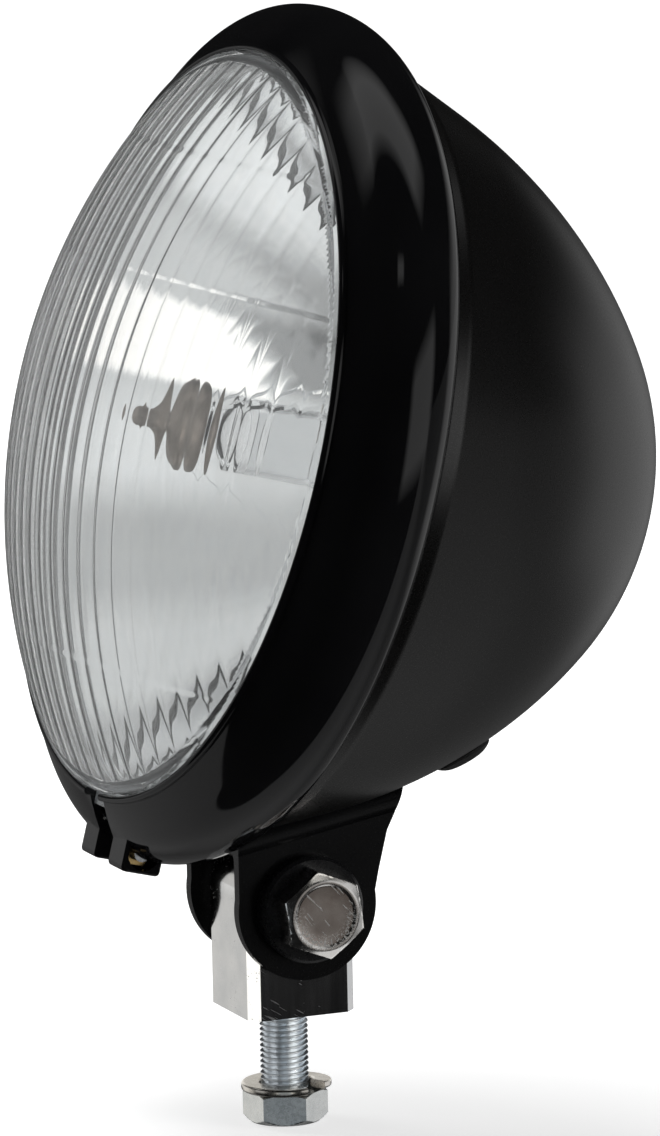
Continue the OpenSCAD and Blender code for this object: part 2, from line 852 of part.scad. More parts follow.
module pivot_bolt() {
  color([0.8, 0.8, 0.8])
    pivot() {
      translate([head_x, 0, 0])
        rotate([0, 90, 0])
          hex_head(pivot_head_af, head_h);
      translate([-bolt_end_x, 0, 0])
        rotate([0, 90, 0])
          cylinder(r = shank_r, h = bolt_end_x + head_x + 1);
    }
}

module pivot_collar() {
  color([0.03, 0.03, 0.03])
    pivot()
      translate([ear_out_x, 0, 0])
        rotate([0, 90, 0])
          difference() {
            union() {
              cylinder(d = collar_d, h = collar_t - 0.6);
              translate([0, 0, collar_t - 0.6])
                cylinder(d1 = collar_d, d2 = collar_d - 1.2, h = 0.6);
            }
            translate([0, 0, -1])
              cylinder(r = shank_r + 0.02, h = collar_t + 2);
          }
}

module pivot_lock_washer() {
  color([0.7, 0.7, 0.7])
    pivot()
      translate([-lock_x, 0, 0])
        rotate([0, 90, 0])
          difference() {
            cylinder(r = shank_r + lock_washer_w, h = lock_washer_t);
            translate([0, 0, -1])
              cylinder(r = shank_r + 0.1, h = lock_washer_t + 2);
            translate([0, 0, lock_washer_t / 2])
              rotate([25, 0, 0])
                translate([0, -0.6, -5])
                  cube([20, 1.2, 10]);
          }
}

module pivot_nut() {
  color([0.75, 0.75, 0.75])
    pivot()
      translate([-nut_x, 0, 0])
        rotate([0, 90, 0])
          difference() {
            intersection() {
              cylinder(d = mount_head_af / cos(30), h = nut_h, $fn = 6);
              union() {
                cylinder(r1 = mount_head_af * 0.5, r2 = mount_head_af * 0.62, h = 1.2);
                translate([0, 0, 1.2])
                  cylinder(r = mount_head_af * 0.62, h = nut_h);
              }
            }
            translate([0, 0, -1])
              cylinder(r = shank_r + 0.02, h = nut_h + 2);
          }
}

module mounting_block() {
  half = block_w / 2;
  c = block_chamfer;
  color([0.78, 0.78, 0.76])
    difference() {
      intersection() {
        linear_extrude(height = pivot_height + block_top_r + 1)
          polygon([
            [-half, -half + c], [-half + c, -half], [half - c, -half], [half, -half + c],
            [half, half - c], [half - c, half], [-half + c, half], [-half, half - c]
          ]);
        rotate([90, 0, 90])
          linear_extrude(height = block_w + 2, center = true)
            union() {
              translate([-half, 0])
                square([block_w, pivot_height]);
              translate([0, pivot_height])
                circle(r = block_top_r);
            }
      }
      pivot()
        rotate([0, 90, 0])
          cylinder(r = shank_r + pivot_clearance, h = 1.2 * block_w, center = true);
      translate([0, 0, -1])
        cylinder(r = shank_r + 0.02, h = bolt_reach + bolt_room + 1);
    }
}

module mounting_bolt() {
  color([0.78, 0.78, 0.76])
    union() {
      translate([0, 0, mount_head_z - bolt_point])
        cylinder(r = shank_r, h = bolt_reach - mount_head_z);
      translate([0, 0, bolt_reach - bolt_point])
        cylinder(r1 = shank_r, r2 = shank_r - bolt_point, h = bolt_point);
      translate([0, 0, mount_head_z])
        rotate([180, 0, 0])
          hex_head(mount_head_af, head_h);
    }
}

// Split washer: a square section swept along most of one turn of a shallow helix.
washer_steps = 40;
washer_open = 14;
function washer_ring(i) =
  let (
    a = 22 + washer_open / 2 + (360 - washer_open) * i / washer_steps,
    z = washer_lift * i / washer_steps,
    r0 = shank_r + 0.1,
    r1 = shank_r + lock_washer_w
  )
  [
    [r0 * cos(a), r0 * sin(a), z],
    [r1 * cos(a), r1 * sin(a), z],
    [r1 * cos(a), r1 * sin(a), z + lock_washer_t],
    [r0 * cos(a), r0 * sin(a), z + lock_washer_t]
  ];

module mounting_lock_washer() {
  points = [for (i = [0 : washer_steps]) each washer_ring(i)];
  walls = [
    for (i = [0 : washer_steps - 1])
      for (k = [0 : 3])
        [4 * i + k, 4 * i + (k + 1) % 4, 4 * (i + 1) + (k + 1) % 4, 4 * (i + 1) + k]
  ];
  last = 4 * washer_steps;
  color([0.5, 0.5, 0.52])
    translate([0, 0, mount_head_z])
      polyhedron(
        points = points,
        faces = concat([[3, 2, 1, 0]], walls, [[last, last + 1, last + 2, last + 3]]),
        convexity = 4
      );
}

shell();
trim_ring();
ring_clamp_screw();
ring_clamp_nut();
lens();
lens_seal();
reflector();
bulb_shield();
bulb_glass();
bulb_base();
bulb_terminals();
bulb_retainer();
bulb_socket();
dust_boot();
wire_grommet();
clevis();
clevis_rivets();
clevis_backplate();
pivot_bolt();
pivot_collar();
pivot_lock_washer();
pivot_nut();
mounting_block();
mounting_bolt();
mounting_lock_washer();
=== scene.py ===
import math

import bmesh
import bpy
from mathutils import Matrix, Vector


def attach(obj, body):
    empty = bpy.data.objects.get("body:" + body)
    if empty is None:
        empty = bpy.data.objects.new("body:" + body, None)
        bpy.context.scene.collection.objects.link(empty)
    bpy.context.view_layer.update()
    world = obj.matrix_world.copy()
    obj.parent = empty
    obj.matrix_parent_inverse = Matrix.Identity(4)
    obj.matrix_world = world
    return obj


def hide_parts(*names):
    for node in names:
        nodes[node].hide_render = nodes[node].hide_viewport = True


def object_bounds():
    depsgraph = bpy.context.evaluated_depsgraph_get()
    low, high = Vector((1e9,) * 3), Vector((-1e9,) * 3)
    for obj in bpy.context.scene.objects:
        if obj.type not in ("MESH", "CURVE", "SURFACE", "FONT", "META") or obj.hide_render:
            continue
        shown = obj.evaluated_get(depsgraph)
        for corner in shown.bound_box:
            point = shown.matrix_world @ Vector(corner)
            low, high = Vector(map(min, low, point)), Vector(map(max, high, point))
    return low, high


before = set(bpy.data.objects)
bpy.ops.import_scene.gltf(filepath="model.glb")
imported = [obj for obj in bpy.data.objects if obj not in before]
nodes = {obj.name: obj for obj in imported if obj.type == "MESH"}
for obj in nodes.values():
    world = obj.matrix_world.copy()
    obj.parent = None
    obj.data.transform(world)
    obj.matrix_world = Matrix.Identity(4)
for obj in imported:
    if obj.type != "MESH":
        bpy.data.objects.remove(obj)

# %% [markdown]
# ## A round motorcycle headlight
# The real lamp is a deep black bowl, a fat rolled ring round a pressed glass, and a small
# U-shaped bracket that tilts on a square block with one bolt through the machine's plate.
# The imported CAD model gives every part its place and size. This script gives the parts their
# finish, and makes again those whose curves the light is read from: ring, bowl, glass and mirror.

cad_low, cad_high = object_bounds()
MM = 0.001
PIVOT_HEIGHT, LAMP_RISE, AXIS_HEIGHT, MOUTH_AHEAD = 22, 14.6, 85.526, 43.5


def lamp_matrix():
    """From the lamp's own axes, z forward out of the mouth, to the frame."""
    pivot = Matrix.Translation((0, 0, PIVOT_HEIGHT * MM))
    turn = Matrix.Rotation(math.radians(90 - LAMP_RISE), 4, "X")
    return pivot @ turn @ Matrix.Translation((0, AXIS_HEIGHT * MM, MOUTH_AHEAD * MM))


LAMP = lamp_matrix()
print("the CAD box is", [round(v / MM, 1) for v in (*cad_low, *cad_high)], "mm")

# %% [markdown]
# ## Shading by formula
# Materials and Geometry Nodes both work with small math nodes. This class lets the script write
# a formula as plain arithmetic: each sign adds one Math node and returns its result.

# %% A formula that writes its own Math nodes
class Formula:
    def __init__(self, tree, socket):
        self.tree = tree
        self.socket = socket

    def math(self, operation, *others):
        node = self.tree.nodes.new("ShaderNodeMath")
        node.operation = operation
        for slot, value in zip(node.inputs, (self, *others)):
            if isinstance(value, Formula):
                self.tree.links.new(value.socket, slot)
            else:
                slot.default_value = value
        return Formula(self.tree, node.outputs[0])

    def __add__(self, other):
        return self.math("ADD", other)

    def __sub__(self, other):
        return self.math("SUBTRACT", other)

    def __mul__(self, other):
        return self.math("MULTIPLY", other)

    def __truediv__(self, other):
        return self.math("DIVIDE", other)

    def clipped(self, low, high):
        return self.math("MAXIMUM", low).math("MINIMUM", high)

    def above(self, level):
        return self.math("GREATER_THAN", level)


# %% [markdown]
# ## Finishes
# A finish is a Principled shader whose colour, roughness and bump are driven by a pattern on the
# object's own coordinates, so that it stays on the part in every view and at every tilt.
# Nearly every finish needs fine grain in its roughness and a slow drift of its tone.
# The finishes are kept in a dictionary by slot name.

# %% Helpers for finishes
finish = {}


def finish_base(name):
    material = bpy.data.materials.new(name)
    material.use_nodes = True
    tree = material.node_tree
    shader = tree.nodes["Principled BSDF"]
    where = tree.nodes.new("ShaderNodeTexCoord").outputs["Object"]
    return material, tree, shader, where


def noise(tree, where, per_metre, detail=2.0, rough=0.5, stretch=None, turn=(0, 0, 0)):
    """A noise field. A stretch below 1 draws it out along an axis, which turn leans over."""
    if stretch:
        mapping = tree.nodes.new("ShaderNodeMapping")
        mapping.vector_type = "TEXTURE"
        mapping.inputs["Scale"].default_value = [1 / k for k in stretch]
        mapping.inputs["Rotation"].default_value = [math.radians(a) for a in turn]
        tree.links.new(where, mapping.inputs["Vector"])
        where = mapping.outputs["Vector"]
    node = tree.nodes.new("ShaderNodeTexNoise")
    node.inputs["Scale"].default_value = per_metre
    node.inputs["Detail"].default_value = detail
    node.inputs["Roughness"].default_value = rough
    tree.links.new(where, node.inputs["Vector"])
    return Formula(tree, node.outputs["Fac"])


def spread(tree, value, low, high):
    """Stretches a noise value, mostly 0.3 to 0.7, to the range low to high."""
    node = tree.nodes.new("ShaderNodeMapRange")
    node.inputs["From Min"].default_value = 0.3
    node.inputs["From Max"].default_value = 0.7
    node.inputs["To Min"].default_value = low
    node.inputs["To Max"].default_value = high
    tree.links.new(value.socket, node.inputs["Value"])
    return Formula(tree, node.outputs["Result"])


def cloudy(tree, where, per_metre, detail=2.0):
    """Slow clouds from 0 to 1."""
    return spread(tree, noise(tree, where, per_metre, detail), 0, 1).clipped(0, 1)


def blend(tree, factor, one, two=(1, 1, 1)):
    node = tree.nodes.new("ShaderNodeMix")
    node.data_type = "RGBA"
    node.inputs["A"].default_value = (*one, 1)
    node.inputs["B"].default_value = (*two, 1)
    feed(factor, node.inputs["Factor"])
    return node


def two_tones(tree, shader, value, dark, light):
    colour = blend(tree, value, dark, light).outputs["Result"]
    tree.links.new(colour, shader.inputs["Base Color"])


def bump(tree, shader, height, depth_mm, strength=1.0):
    node = tree.nodes.new("ShaderNodeBump")
    node.inputs["Distance"].default_value = depth_mm * MM
    node.inputs["Strength"].default_value = strength
    tree.links.new(height.socket, node.inputs["Height"])
    tree.links.new(node.outputs["Normal"], shader.inputs["Normal"])


def feed(value, slot):
    value.tree.links.new(value.socket, slot)


def axes(tree, where):
    """The three parts of a position or direction."""
    split = tree.nodes.new("ShaderNodeSeparateXYZ")
    tree.links.new(where, split.inputs[0])
    return [Formula(tree, split.outputs[k]) for k in range(3)]


def mixed(tree, factor, one, two):
    """Shows one shader where the factor is 0, and two where it is 1."""
    mix = tree.nodes.new("ShaderNodeMixShader")
    feed(factor, mix.inputs["Fac"])
    tree.links.new(one, mix.inputs[1])
    tree.links.new(two, mix.inputs[2])
    tree.links.new(mix.outputs["Shader"], tree.nodes["Material Output"].inputs["Surface"])


def scratches(tree, where, per_metre, turn, level):
    """1 on a few fine straight scratches, 0 elsewhere."""
    streaks = noise(tree, where, per_metre, detail=1, stretch=(1, 1, 0.08), turn=turn)
    places = noise(tree, where, 260, detail=1)
    return streaks.above(level) * places.above(0.55)


# %% [markdown]
# ## Paint
# The ring and the bowl are sprayed black. The ring is polished gloss with faint orange peel.
# The bowl is satin, so its reflections are broad and grey, with a fine powder grain. Both
# drift a little in tone, as sprayed paint does.

# %% Gloss and satin black paint
def paint(name, dark, light, rough, grain_per_m, grain_mm, specular):
    material, tree, shader, where = finish_base(name)
    two_tones(tree, shader, cloudy(tree, where, 35), dark, light)
    grain = noise(tree, where, grain_per_m, detail=3)
    feed(spread(tree, grain, *rough), shader.inputs["Roughness"])
    bump(tree, shader, grain, grain_mm, 0.35)
    shader.inputs["Specular IOR Level"].default_value = specular
    return material


for slot, *look in (
    ("ring_paint", "ring_gloss_black", (0.0035, 0.0035, 0.004), (0.006, 0.006, 0.0065),
     (0.03, 0.06), 600, 0.004, 0.5),
    ("shell_paint", "bowl_satin_black", (0.003, 0.0028, 0.0027), (0.0046, 0.0042, 0.0041),
     (0.26, 0.31), 2600, 0.01, 0.9),
    ("clevis_paint", "bracket_satin_black", (0.003, 0.003, 0.0032), (0.0055, 0.0055, 0.006),
     (0.2, 0.28), 2200, 0.012, 0.4),
    ("collar_black", "collar_black", (0.006, 0.006, 0.007), (0.01, 0.01, 0.011),
     (0.22, 0.34), 1800, 0.015, 0.6),
):
    finish[slot] = paint(*look)
finish["rivet_paint"] = finish["clevis_paint"]

# %% [markdown]
# ## Metals
# Zinc is cool and slightly cloudy, and rougher where it fills a thread. The washer is plain
# steel, browner. Each takes its roughness from a fine noise. The block is milled, so its noise
# is drawn out along it, and a few fine scratches scatter the light.

# %% Zinc, steel, brass and the mirror
def metal(name, dark, light, rough, per_metre, depth=0.006):
    material, tree, shader, where = finish_base(name)
    two_tones(tree, shader, cloudy(tree, where, 220, 4), dark, light)
    marks = noise(tree, where, per_metre, detail=4, rough=0.6)
    feed(spread(tree, marks, *rough), shader.inputs["Roughness"])
    bump(tree, shader, marks, depth, 0.4)
    shader.inputs["Metallic"].default_value = 1.0
    return material


for name, *look in (
    ("bright_zinc", (0.62, 0.65, 0.68), (0.8, 0.82, 0.84), (0.1, 0.24), 900),
    ("stud_zinc", (0.7, 0.74, 0.77), (0.82, 0.85, 0.88), (0.26, 0.38), 900),
    ("head_zinc", (0.64, 0.66, 0.66), (0.78, 0.79, 0.78), (0.2, 0.34), 1300),
    ("washer_steel", (0.6, 0.57, 0.53), (0.78, 0.75, 0.7), (0.16, 0.3), 700),
    ("brass", (0.62, 0.42, 0.16), (0.82, 0.6, 0.28), (0.16, 0.32), 800),
    ("spring_steel", (0.45, 0.46, 0.48), (0.62, 0.63, 0.65), (0.2, 0.36), 800),
    ("plate_steel", (0.4, 0.41, 0.43), (0.52, 0.53, 0.55), (0.3, 0.5), 500),
    ("bulb_metal", (0.55, 0.53, 0.5), (0.75, 0.72, 0.68), (0.2, 0.35), 800),
    ("shield_metal", (0.17, 0.145, 0.125), (0.3, 0.26, 0.23), (0.28, 0.45), 700),
):
    finish[name] = metal(name, *look)
mirror = metal("vacuum_mirror", (0.86, 0.87, 0.88), (0.9, 0.9, 0.9), (0.02, 0.05), 60, 0.002)
finish["reflector_mirror"] = mirror


# %% The block, with fine scratches, and the struck face of the pivot bolt
def milled():
    material, tree, shader, where = finish_base("milled_block")
    two_tones(tree, shader, cloudy(tree, where, 160, 4), (0.66, 0.67, 0.68), (0.78, 0.78, 0.78))
    marks = noise(tree, where, 500, detail=4, rough=0.6, stretch=(1, 1, 0.06))
    worn = scratches(tree, where, 2600, (58, 0, 0), 0.66)
    rough = spread(tree, marks, 0.07, 0.12) + worn.clipped(0.0, 1.0) * 0.3
    feed(rough, shader.inputs["Roughness"])
    bump(tree, shader, marks, 0.008, 0.35)
    shader.inputs["Metallic"].default_value = 1.0
    return material


def struck():
    """Zinc on a forged head: clean on its flats, brown and speckled inside its round face."""
    material, tree, shader, where = finish_base("struck_zinc")
    x, y, z = axes(tree, where)
    up = z - PIVOT_HEIGHT * MM
    reach = (y * y + up * up).math("SQRT") / MM
    face = x.above(22.3 * MM)
    disc = face * reach.math("LESS_THAN", 5.9)
    rim = face * ((reach - 3.8) / 1.6).clipped(0.0, 1.0) * reach.math("LESS_THAN", 6.7)
    low = (up * -180.0 + 0.5).clipped(0.0, 1.0)
    specks = noise(tree, where, 2300, detail=1).above(0.55) * rim * low
    worn = scratches(tree, where, 1900, (42, 0, 0), 0.62) * disc
    pale = (specks + worn).clipped(0.0, 1.0)
    cloud = cloudy(tree, where, 320, 4)
    tone = (disc * -1.0 + 1.0) * (cloud * 0.2 + 0.8) + disc * (cloud * 0.3) + pale
    two_tones(tree, shader, tone.clipped(0.0, 1.0), (0.4, 0.355, 0.325), (0.86, 0.85, 0.83))
    marks = noise(tree, where, 900, detail=4, rough=0.6)
    feed(spread(tree, marks, 0.14, 0.24) + pale * 0.4, shader.inputs["Roughness"])
    bump(tree, shader, marks * 0.15 + pale, 0.03, 0.5)
    shader.inputs["Metallic"].default_value = 1.0
    return material


finish["block_metal"] = milled()
struck_zinc = struck()

# %% [markdown]
# ## Rubber and plastic
# Soft black pieces are rough and slightly mottled, with a fine mould texture.

# %% Rubber and plastic
def rubber(name, dark, light, rough, per_metre, depth):
    material, tree, shader, where = finish_base(name)
    two_tones(tree, shader, cloudy(tree, where, 300, 3), dark, light)
    grain = noise(tree, where, per_metre, detail=2)
    feed(spread(tree, grain, *rough), shader.inputs["Roughness"])
    bump(tree, shader, grain, depth, 0.5)
    return material


for name, *look in (
    ("grommet_rubber", (0.012, 0.012, 0.012), (0.02, 0.02, 0.02), (0.5, 0.7), 1500, 0.03),
    ("boot_rubber", (0.014, 0.014, 0.014), (0.024, 0.024, 0.024), (0.55, 0.75), 1200, 0.04),
    ("seal_rubber", (0.3, 0.31, 0.32), (0.42, 0.43, 0.44), (0.5, 0.7), 1200, 0.03),
    ("socket_plastic", (0.03, 0.03, 0.032), (0.045, 0.045, 0.05), (0.35, 0.5), 1500, 0.02),
):
    finish[name] = rubber(name, *look)

# %% [markdown]
# ## Glass
# Real glass lets a lamp's light through. In Cycles a shadow ray stops at glass, and the parts
# behind it would go black, so shadow rays meet a Transparent shader instead of the glass.

# %% Clear pressed glass
def glass(name, tint, clarity, waviness):
    """Clear glass. A clarity below 1 leaves a faint white haze, as pressed glass has."""
    material, tree, shader, where = finish_base(name)
    shader.inputs["Base Color"].default_value = (*tint, 1)
    shader.inputs["Transmission Weight"].default_value = clarity
    shader.inputs["Roughness"].default_value = 0.0
    shader.inputs["IOR"].default_value = 1.5
    bump(tree, shader, noise(tree, where, 90, detail=1), waviness, 0.5)
    clear = tree.nodes.new("ShaderNodeBsdfTransparent")
    clear.inputs["Color"].default_value = (*[0.94 * c for c in tint], 1)
    path = tree.nodes.new("ShaderNodeLightPath")
    shadow = Formula(tree, path.outputs["Is Shadow Ray"])
    mixed(tree, shadow, shader.outputs["BSDF"], clear.outputs["BSDF"])
    return material


finish["glass"] = glass("pressed_glass", (0.985, 0.995, 1.0), 0.94, 0.02)
finish["bulb_glass"] = glass("bulb_glass", (0.99, 0.995, 1.0), 0.98, 0.005)

# %% Each CAD node gets the finish of its slot
for node in nodes.values():
    node.data.materials[0] = finish[node.data.materials[0].name]
print(len(nodes), "nodes finished from", len(finish), "finishes")

# %% [markdown]
# ## Turned pieces
# Bowl, ring and mirror are pieces of revolution: a metal spinner forms them over a turning
# block. Here a closed outline, as radius and place along the axis, is spun round the lamp's
# axis. Doubles on the axis are merged, then the faces are made to point outwards.

# %% Spin an outline round the lamp's axis
def set_up(name, mesh, body, sharp_degrees):
    mesh.shade_smooth()
    mesh.set_sharp_from_angle(angle=math.radians(sharp_degrees))
    piece = bpy.data.objects.new(name, mesh)
    bpy.context.scene.collection.objects.link(piece)
    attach(piece, body)
    return piece


def new_piece(name, mesh_maker, material, body, sharp_degrees=35):
    mesh = bpy.data.meshes.new(name)
    b = bmesh.new()
    mesh_maker(b)
    bmesh.ops.remove_doubles(b, verts=b.verts, dist=1e-6)
    bmesh.ops.recalc_face_normals(b, faces=b.faces)
    b.to_mesh(mesh)
    b.free()
    mesh.materials.append(material)
    return set_up(name, mesh, body, sharp_degrees)


def around(r, a, z):
    """The point at radius r and angle a round an axis, z along it, all in mm."""
    return Vector((r * MM * math.cos(a), r * MM * math.sin(a), z * MM))


def join_rings(b, rings, closed=False):
    """Faces between neighbouring rings of equal length. Each ring is closed on itself."""
    for one, two in zip(rings, rings[1:] + rings[:1] if closed else rings[1:]):
        for k in range(len(one)):
            n = (k + 1) % len(one)
            b.faces.new((one[k], two[k], two[n], one[n]))
    if not closed:
        b.faces.new(rings[0])
        b.faces.new(list(reversed(rings[-1])))


def spin(b, outline, steps):
    """Spins a closed outline of (radius, place) in mm. Points on the axis are merged later."""
    rings = []
    for i in range(steps):
        a = math.radians(360 * i / steps)
        rings.append([b.verts.new(LAMP @ around(r, a, z)) for r, z in outline])
    for one, two in zip(rings, rings[1:] + rings[:1]):
        for k, (r, _) in enumerate(outline):
            n = (k + 1) % len(outline)
            if r == 0 and outline[n][0] == 0:
                continue
            if r == 0:
                b.faces.new((one[k], two[n], one[n]))
            elif outline[n][0] == 0:
                b.faces.new((one[k], two[k], one[n]))
            else:
                b.faces.new((one[k], two[k], two[n], one[n]))


def arc(cr, cz, r, start, end, steps):
    """Points of an arc in the outline. An angle of 0 points outwards and 90 to the back."""
    out = []
    for i in range(steps + 1):
        a = math.radians(start + (end - start) * i / steps)
        out.append((cr + r * math.cos(a), cz - r * math.sin(a)))
    return out


# %% [markdown]
# ## The bowl
# A straight neck goes into the ring, then come a cone, one long curve and a round nose. The
# curve and the nose share a tangent, which is what makes the highlight run on without a kink.

# %% The satin bowl
NECK_R, SHELL_WALL, CONE, NOSE = 75.2, 1.3, 22.0, 51.0
CONE_Z, CONE_LENGTH, BOWL_R = -26.0, 13.5, 110.0
cone_end_r = NECK_R - CONE_LENGTH * math.tan(math.radians(CONE))
cone_end_z = CONE_Z - CONE_LENGTH
bowl_cr = cone_end_r - BOWL_R * math.cos(math.radians(CONE))
bowl_cz = cone_end_z + BOWL_R * math.sin(math.radians(CONE))
nose_r = (bowl_cr + BOWL_R * math.cos(math.radians(NOSE))) / math.cos(math.radians(NOSE))
nose_cz = bowl_cz - BOWL_R * math.sin(math.radians(NOSE)) + nose_r * math.sin(math.radians(NOSE))
FLANGE_BACK_Z = -2.9 - 4 - 1 - 1.5  # the glass's face, its flange, the seal, the mirror's flange


def bowl_outline(inset, front_z):
    curve = arc(bowl_cr, bowl_cz, BOWL_R - inset, CONE, NOSE, 24)
    nose = arc(0, nose_cz, nose_r - inset, NOSE, 90, 24)[1:-1]
    neck = NECK_R - inset
    join_z = curve[0][1] + (neck - curve[0][0]) / math.tan(math.radians(CONE))
    bend = [(neck - 0.09, join_z - 0.25), (neck - 0.3, join_z - 0.75)]
    front = [(neck, front_z), (neck, join_z + 0.6)]
    return front + bend + curve + nose + [(0, nose_cz - nose_r + inset)]


WIRE_BACK = 67.5
WIRE_LEAN = math.asin((bowl_cz + WIRE_BACK) / BOWL_R)
WIRE_PLACE = (
    LAMP
    @ Matrix.Rotation(math.radians(17), 4, "Z")
    @ Matrix.Translation((0, -(bowl_cr + BOWL_R * math.cos(WIRE_LEAN)) * MM, -WIRE_BACK * MM))
    @ Matrix.Rotation(math.radians(90) + WIRE_LEAN, 4, "X")
)


def make_bowl(b):
    outer = bowl_outline(0, FLANGE_BACK_Z)
    inner = bowl_outline(SHELL_WALL, FLANGE_BACK_Z - SHELL_WALL)
    lip_r = NECK_R - 4
    lip = [(lip_r, FLANGE_BACK_Z - SHELL_WALL), (lip_r, FLANGE_BACK_Z)]
    spin(b, outer + list(reversed(inner)) + lip, 192)
    to_wire = WIRE_PLACE.inverted()
    hole = []
    for f in b.faces:
        p = to_wire @ f.calc_center_median()
        if math.hypot(p.x, p.y) < 4 * MM and abs(p.z) < 8 * MM:
            hole.append(f)
    bmesh.ops.delete(b, geom=hole, context="FACES")
    print("bowl: wire hole opened in", len(hole), "faces")


bowl = new_piece("bowl", make_bowl, finish["shell_paint"], "lamp")
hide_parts("shell")

# %% [markdown]
# ## The trim ring
# The ring is rolled from one strip. Its outline has a deep rounding at the back, a tighter
# shoulder, a nearly flat front face that slopes in to the glass, and a small bead at the edge.
# The arcs share their tangents, so the reflections run over the joins without a step. It is
# split at the bottom, and two ears take the screw that closes it.

# %% The ring's outline
RING_R, RING_DEPTH, RING_WALL, RING_MOUTH_R, SEAT_R = 83.0, 22.5, 1.5, 71.8, 74.8
GLASS_FRONT_Z = -2.9
SECTION_R, SHOULDER_R, FRONT_R = 12.0, 8.2, 45.0
SHOULDER_START, FRONT_START = 9.0, 56.8
section_cr, section_cz = RING_R - SECTION_R, -SECTION_R - 0.5
shoulder_cr = section_cr + (SECTION_R - SHOULDER_R) * math.cos(math.radians(SHOULDER_START))
shoulder_cz = section_cz + (SECTION_R - SHOULDER_R) * math.sin(math.radians(SHOULDER_START))
front_cr = shoulder_cr - (FRONT_R - SHOULDER_R) * math.cos(math.radians(FRONT_START))
front_cz = shoulder_cz - (FRONT_R - SHOULDER_R) * math.sin(math.radians(FRONT_START))
BEAD_R = RING_WALL / 2


def ring_skin(inset, rear, reach):
    last = math.degrees(math.acos((reach - front_cr) / (FRONT_R - inset)))
    skin = arc(section_cr, section_cz, SECTION_R - inset, rear, -SHOULDER_START, 40)
    skin += arc(shoulder_cr, shoulder_cz, SHOULDER_R - inset, -SHOULDER_START, -FRONT_START, 24)[1:]
    return skin + arc(front_cr, front_cz, FRONT_R - inset, -FRONT_START, -last, 10)[1:]


def ring_outline():
    clear_r = NECK_R + 0.3
    rear_out = math.degrees(math.asin((RING_DEPTH + section_cz) / SECTION_R))
    rear_in = math.degrees(math.acos((clear_r - section_cr) / (SECTION_R - RING_WALL)))
    outside = ring_skin(0, rear_out, RING_MOUTH_R + 1.9 * BEAD_R)
    bead = arc(RING_MOUTH_R + BEAD_R, -0.35 - BEAD_R, BEAD_R, 0, -180, 12)
    inside = list(reversed(ring_skin(RING_WALL, rear_in, SEAT_R)))
    seat = [(RING_MOUTH_R, GLASS_FRONT_Z), (SEAT_R, GLASS_FRONT_Z)]
    return outside + bead + seat + inside + [(clear_r, -RING_DEPTH)]


# %% The ring, split at the bottom
SPLIT = 3.52


def make_ring(b):
    outline, steps, rings = ring_outline(), 288, []
    for i in range(steps + 1):
        ring = []
        for r, z in outline:
            gap = math.asin(SPLIT / r)
            a = -math.pi / 2 + gap + (2 * math.pi - 2 * gap) * i / steps
            ring.append(b.verts.new(LAMP @ around(r, a, z)))
        rings.append(ring)
    join_rings(b, rings)
    print("ring outline of", len(outline), "points, split", round(2 * SPLIT, 2), "mm wide")


ring = new_piece("rolled_ring", make_ring, finish["ring_paint"], "lamp", 40)
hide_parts("trim_ring")

# %% The clamp's two ears, each a block with a stepped hole
EAR_IN, EAR_OUT, EAR_TOP_R, EAR_END_R = 3.5, 11.0, 76.8, 84.9
EAR_FRONT_Z, EAR_BACK_Z, SCREW_R_MID = -5.2, -13.2, 81.1


def ear_edge(a, inset, corner=0.9):
    """The point of a rounded rectangle that a ray at angle a meets, from the screw's axis."""
    lows = (SCREW_R_MID - EAR_TOP_R - inset, EAR_END_R - SCREW_R_MID - inset)
    half_z = (EAR_FRONT_Z - EAR_BACK_Z) / 2 - inset
    c, d = math.cos(a), math.sin(a)
    reach_y = lows[0] if c > 0 else lows[1]
    t = min(reach_y / abs(c) if abs(c) > 1e-6 else 99, half_z / abs(d) if abs(d) > 1e-6 else 99)
    y, z = t * c, t * d
    corner_y, corner_z = abs(reach_y) - corner, half_z - corner
    if abs(y) > corner_y and abs(z) > corner_z:
        v = Vector((abs(y) - corner_y, abs(z) - corner_z))
        v = v.normalized() * corner if v.length > corner else v
        y, z = math.copysign(corner_y + v.x, y), math.copysign(corner_z + v.y, z)
    return y, z


def make_ears(b):
    mid_z = (EAR_FRONT_Z + EAR_BACK_Z) / 2
    for side, pocket_r, pocket_x in ((-1, 3.34, 8.0), (1, 3.175, 5.5)):
        rings = []
        for i in range(96):
            a = 2 * math.pi * i / 96
            section = []
            for x, inset, hole in (
                (EAR_IN, None, 1.7), (EAR_IN, 0.35, None), (EAR_IN + 0.35, 0.0, None),
                (EAR_OUT - 0.35, 0.0, None), (EAR_OUT, 0.35, None), (EAR_OUT, None, pocket_r),
                (pocket_x, None, pocket_r), (pocket_x, None, 1.7),
            ):
                y, z = (hole * math.cos(a), hole * math.sin(a)) if hole else ear_edge(a, inset)
                place = Vector((side * x, y - SCREW_R_MID, z + mid_z)) * MM
                section.append(b.verts.new(LAMP @ place))
            rings.append(section)
        join_rings(b, rings, closed=True)


ears = new_piece("clamp_ears", make_ears, finish["ring_paint"], "lamp", 30)
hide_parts("trim_ring")

# %% [markdown]
# ## The mirror
# The reflector is a parabola behind the glass. Its curve shows in every reflection, so it is
# spun with many more steps than the CAD part needs.

# %% The mirror
FOCUS, MOUTH_R, HOLE_R, BULB_R, RIM_R, MIRROR_WALL = 20.5, 67.0, 19.0, 10.6, 74.5, 1.5
SEAL_BACK_Z = FLANGE_BACK_Z + MIRROR_WALL
vertex_z = SEAL_BACK_Z - MOUTH_R ** 2 / (4 * FOCUS)


def parabola(r):
    return vertex_z + r * r / (4 * FOCUS)


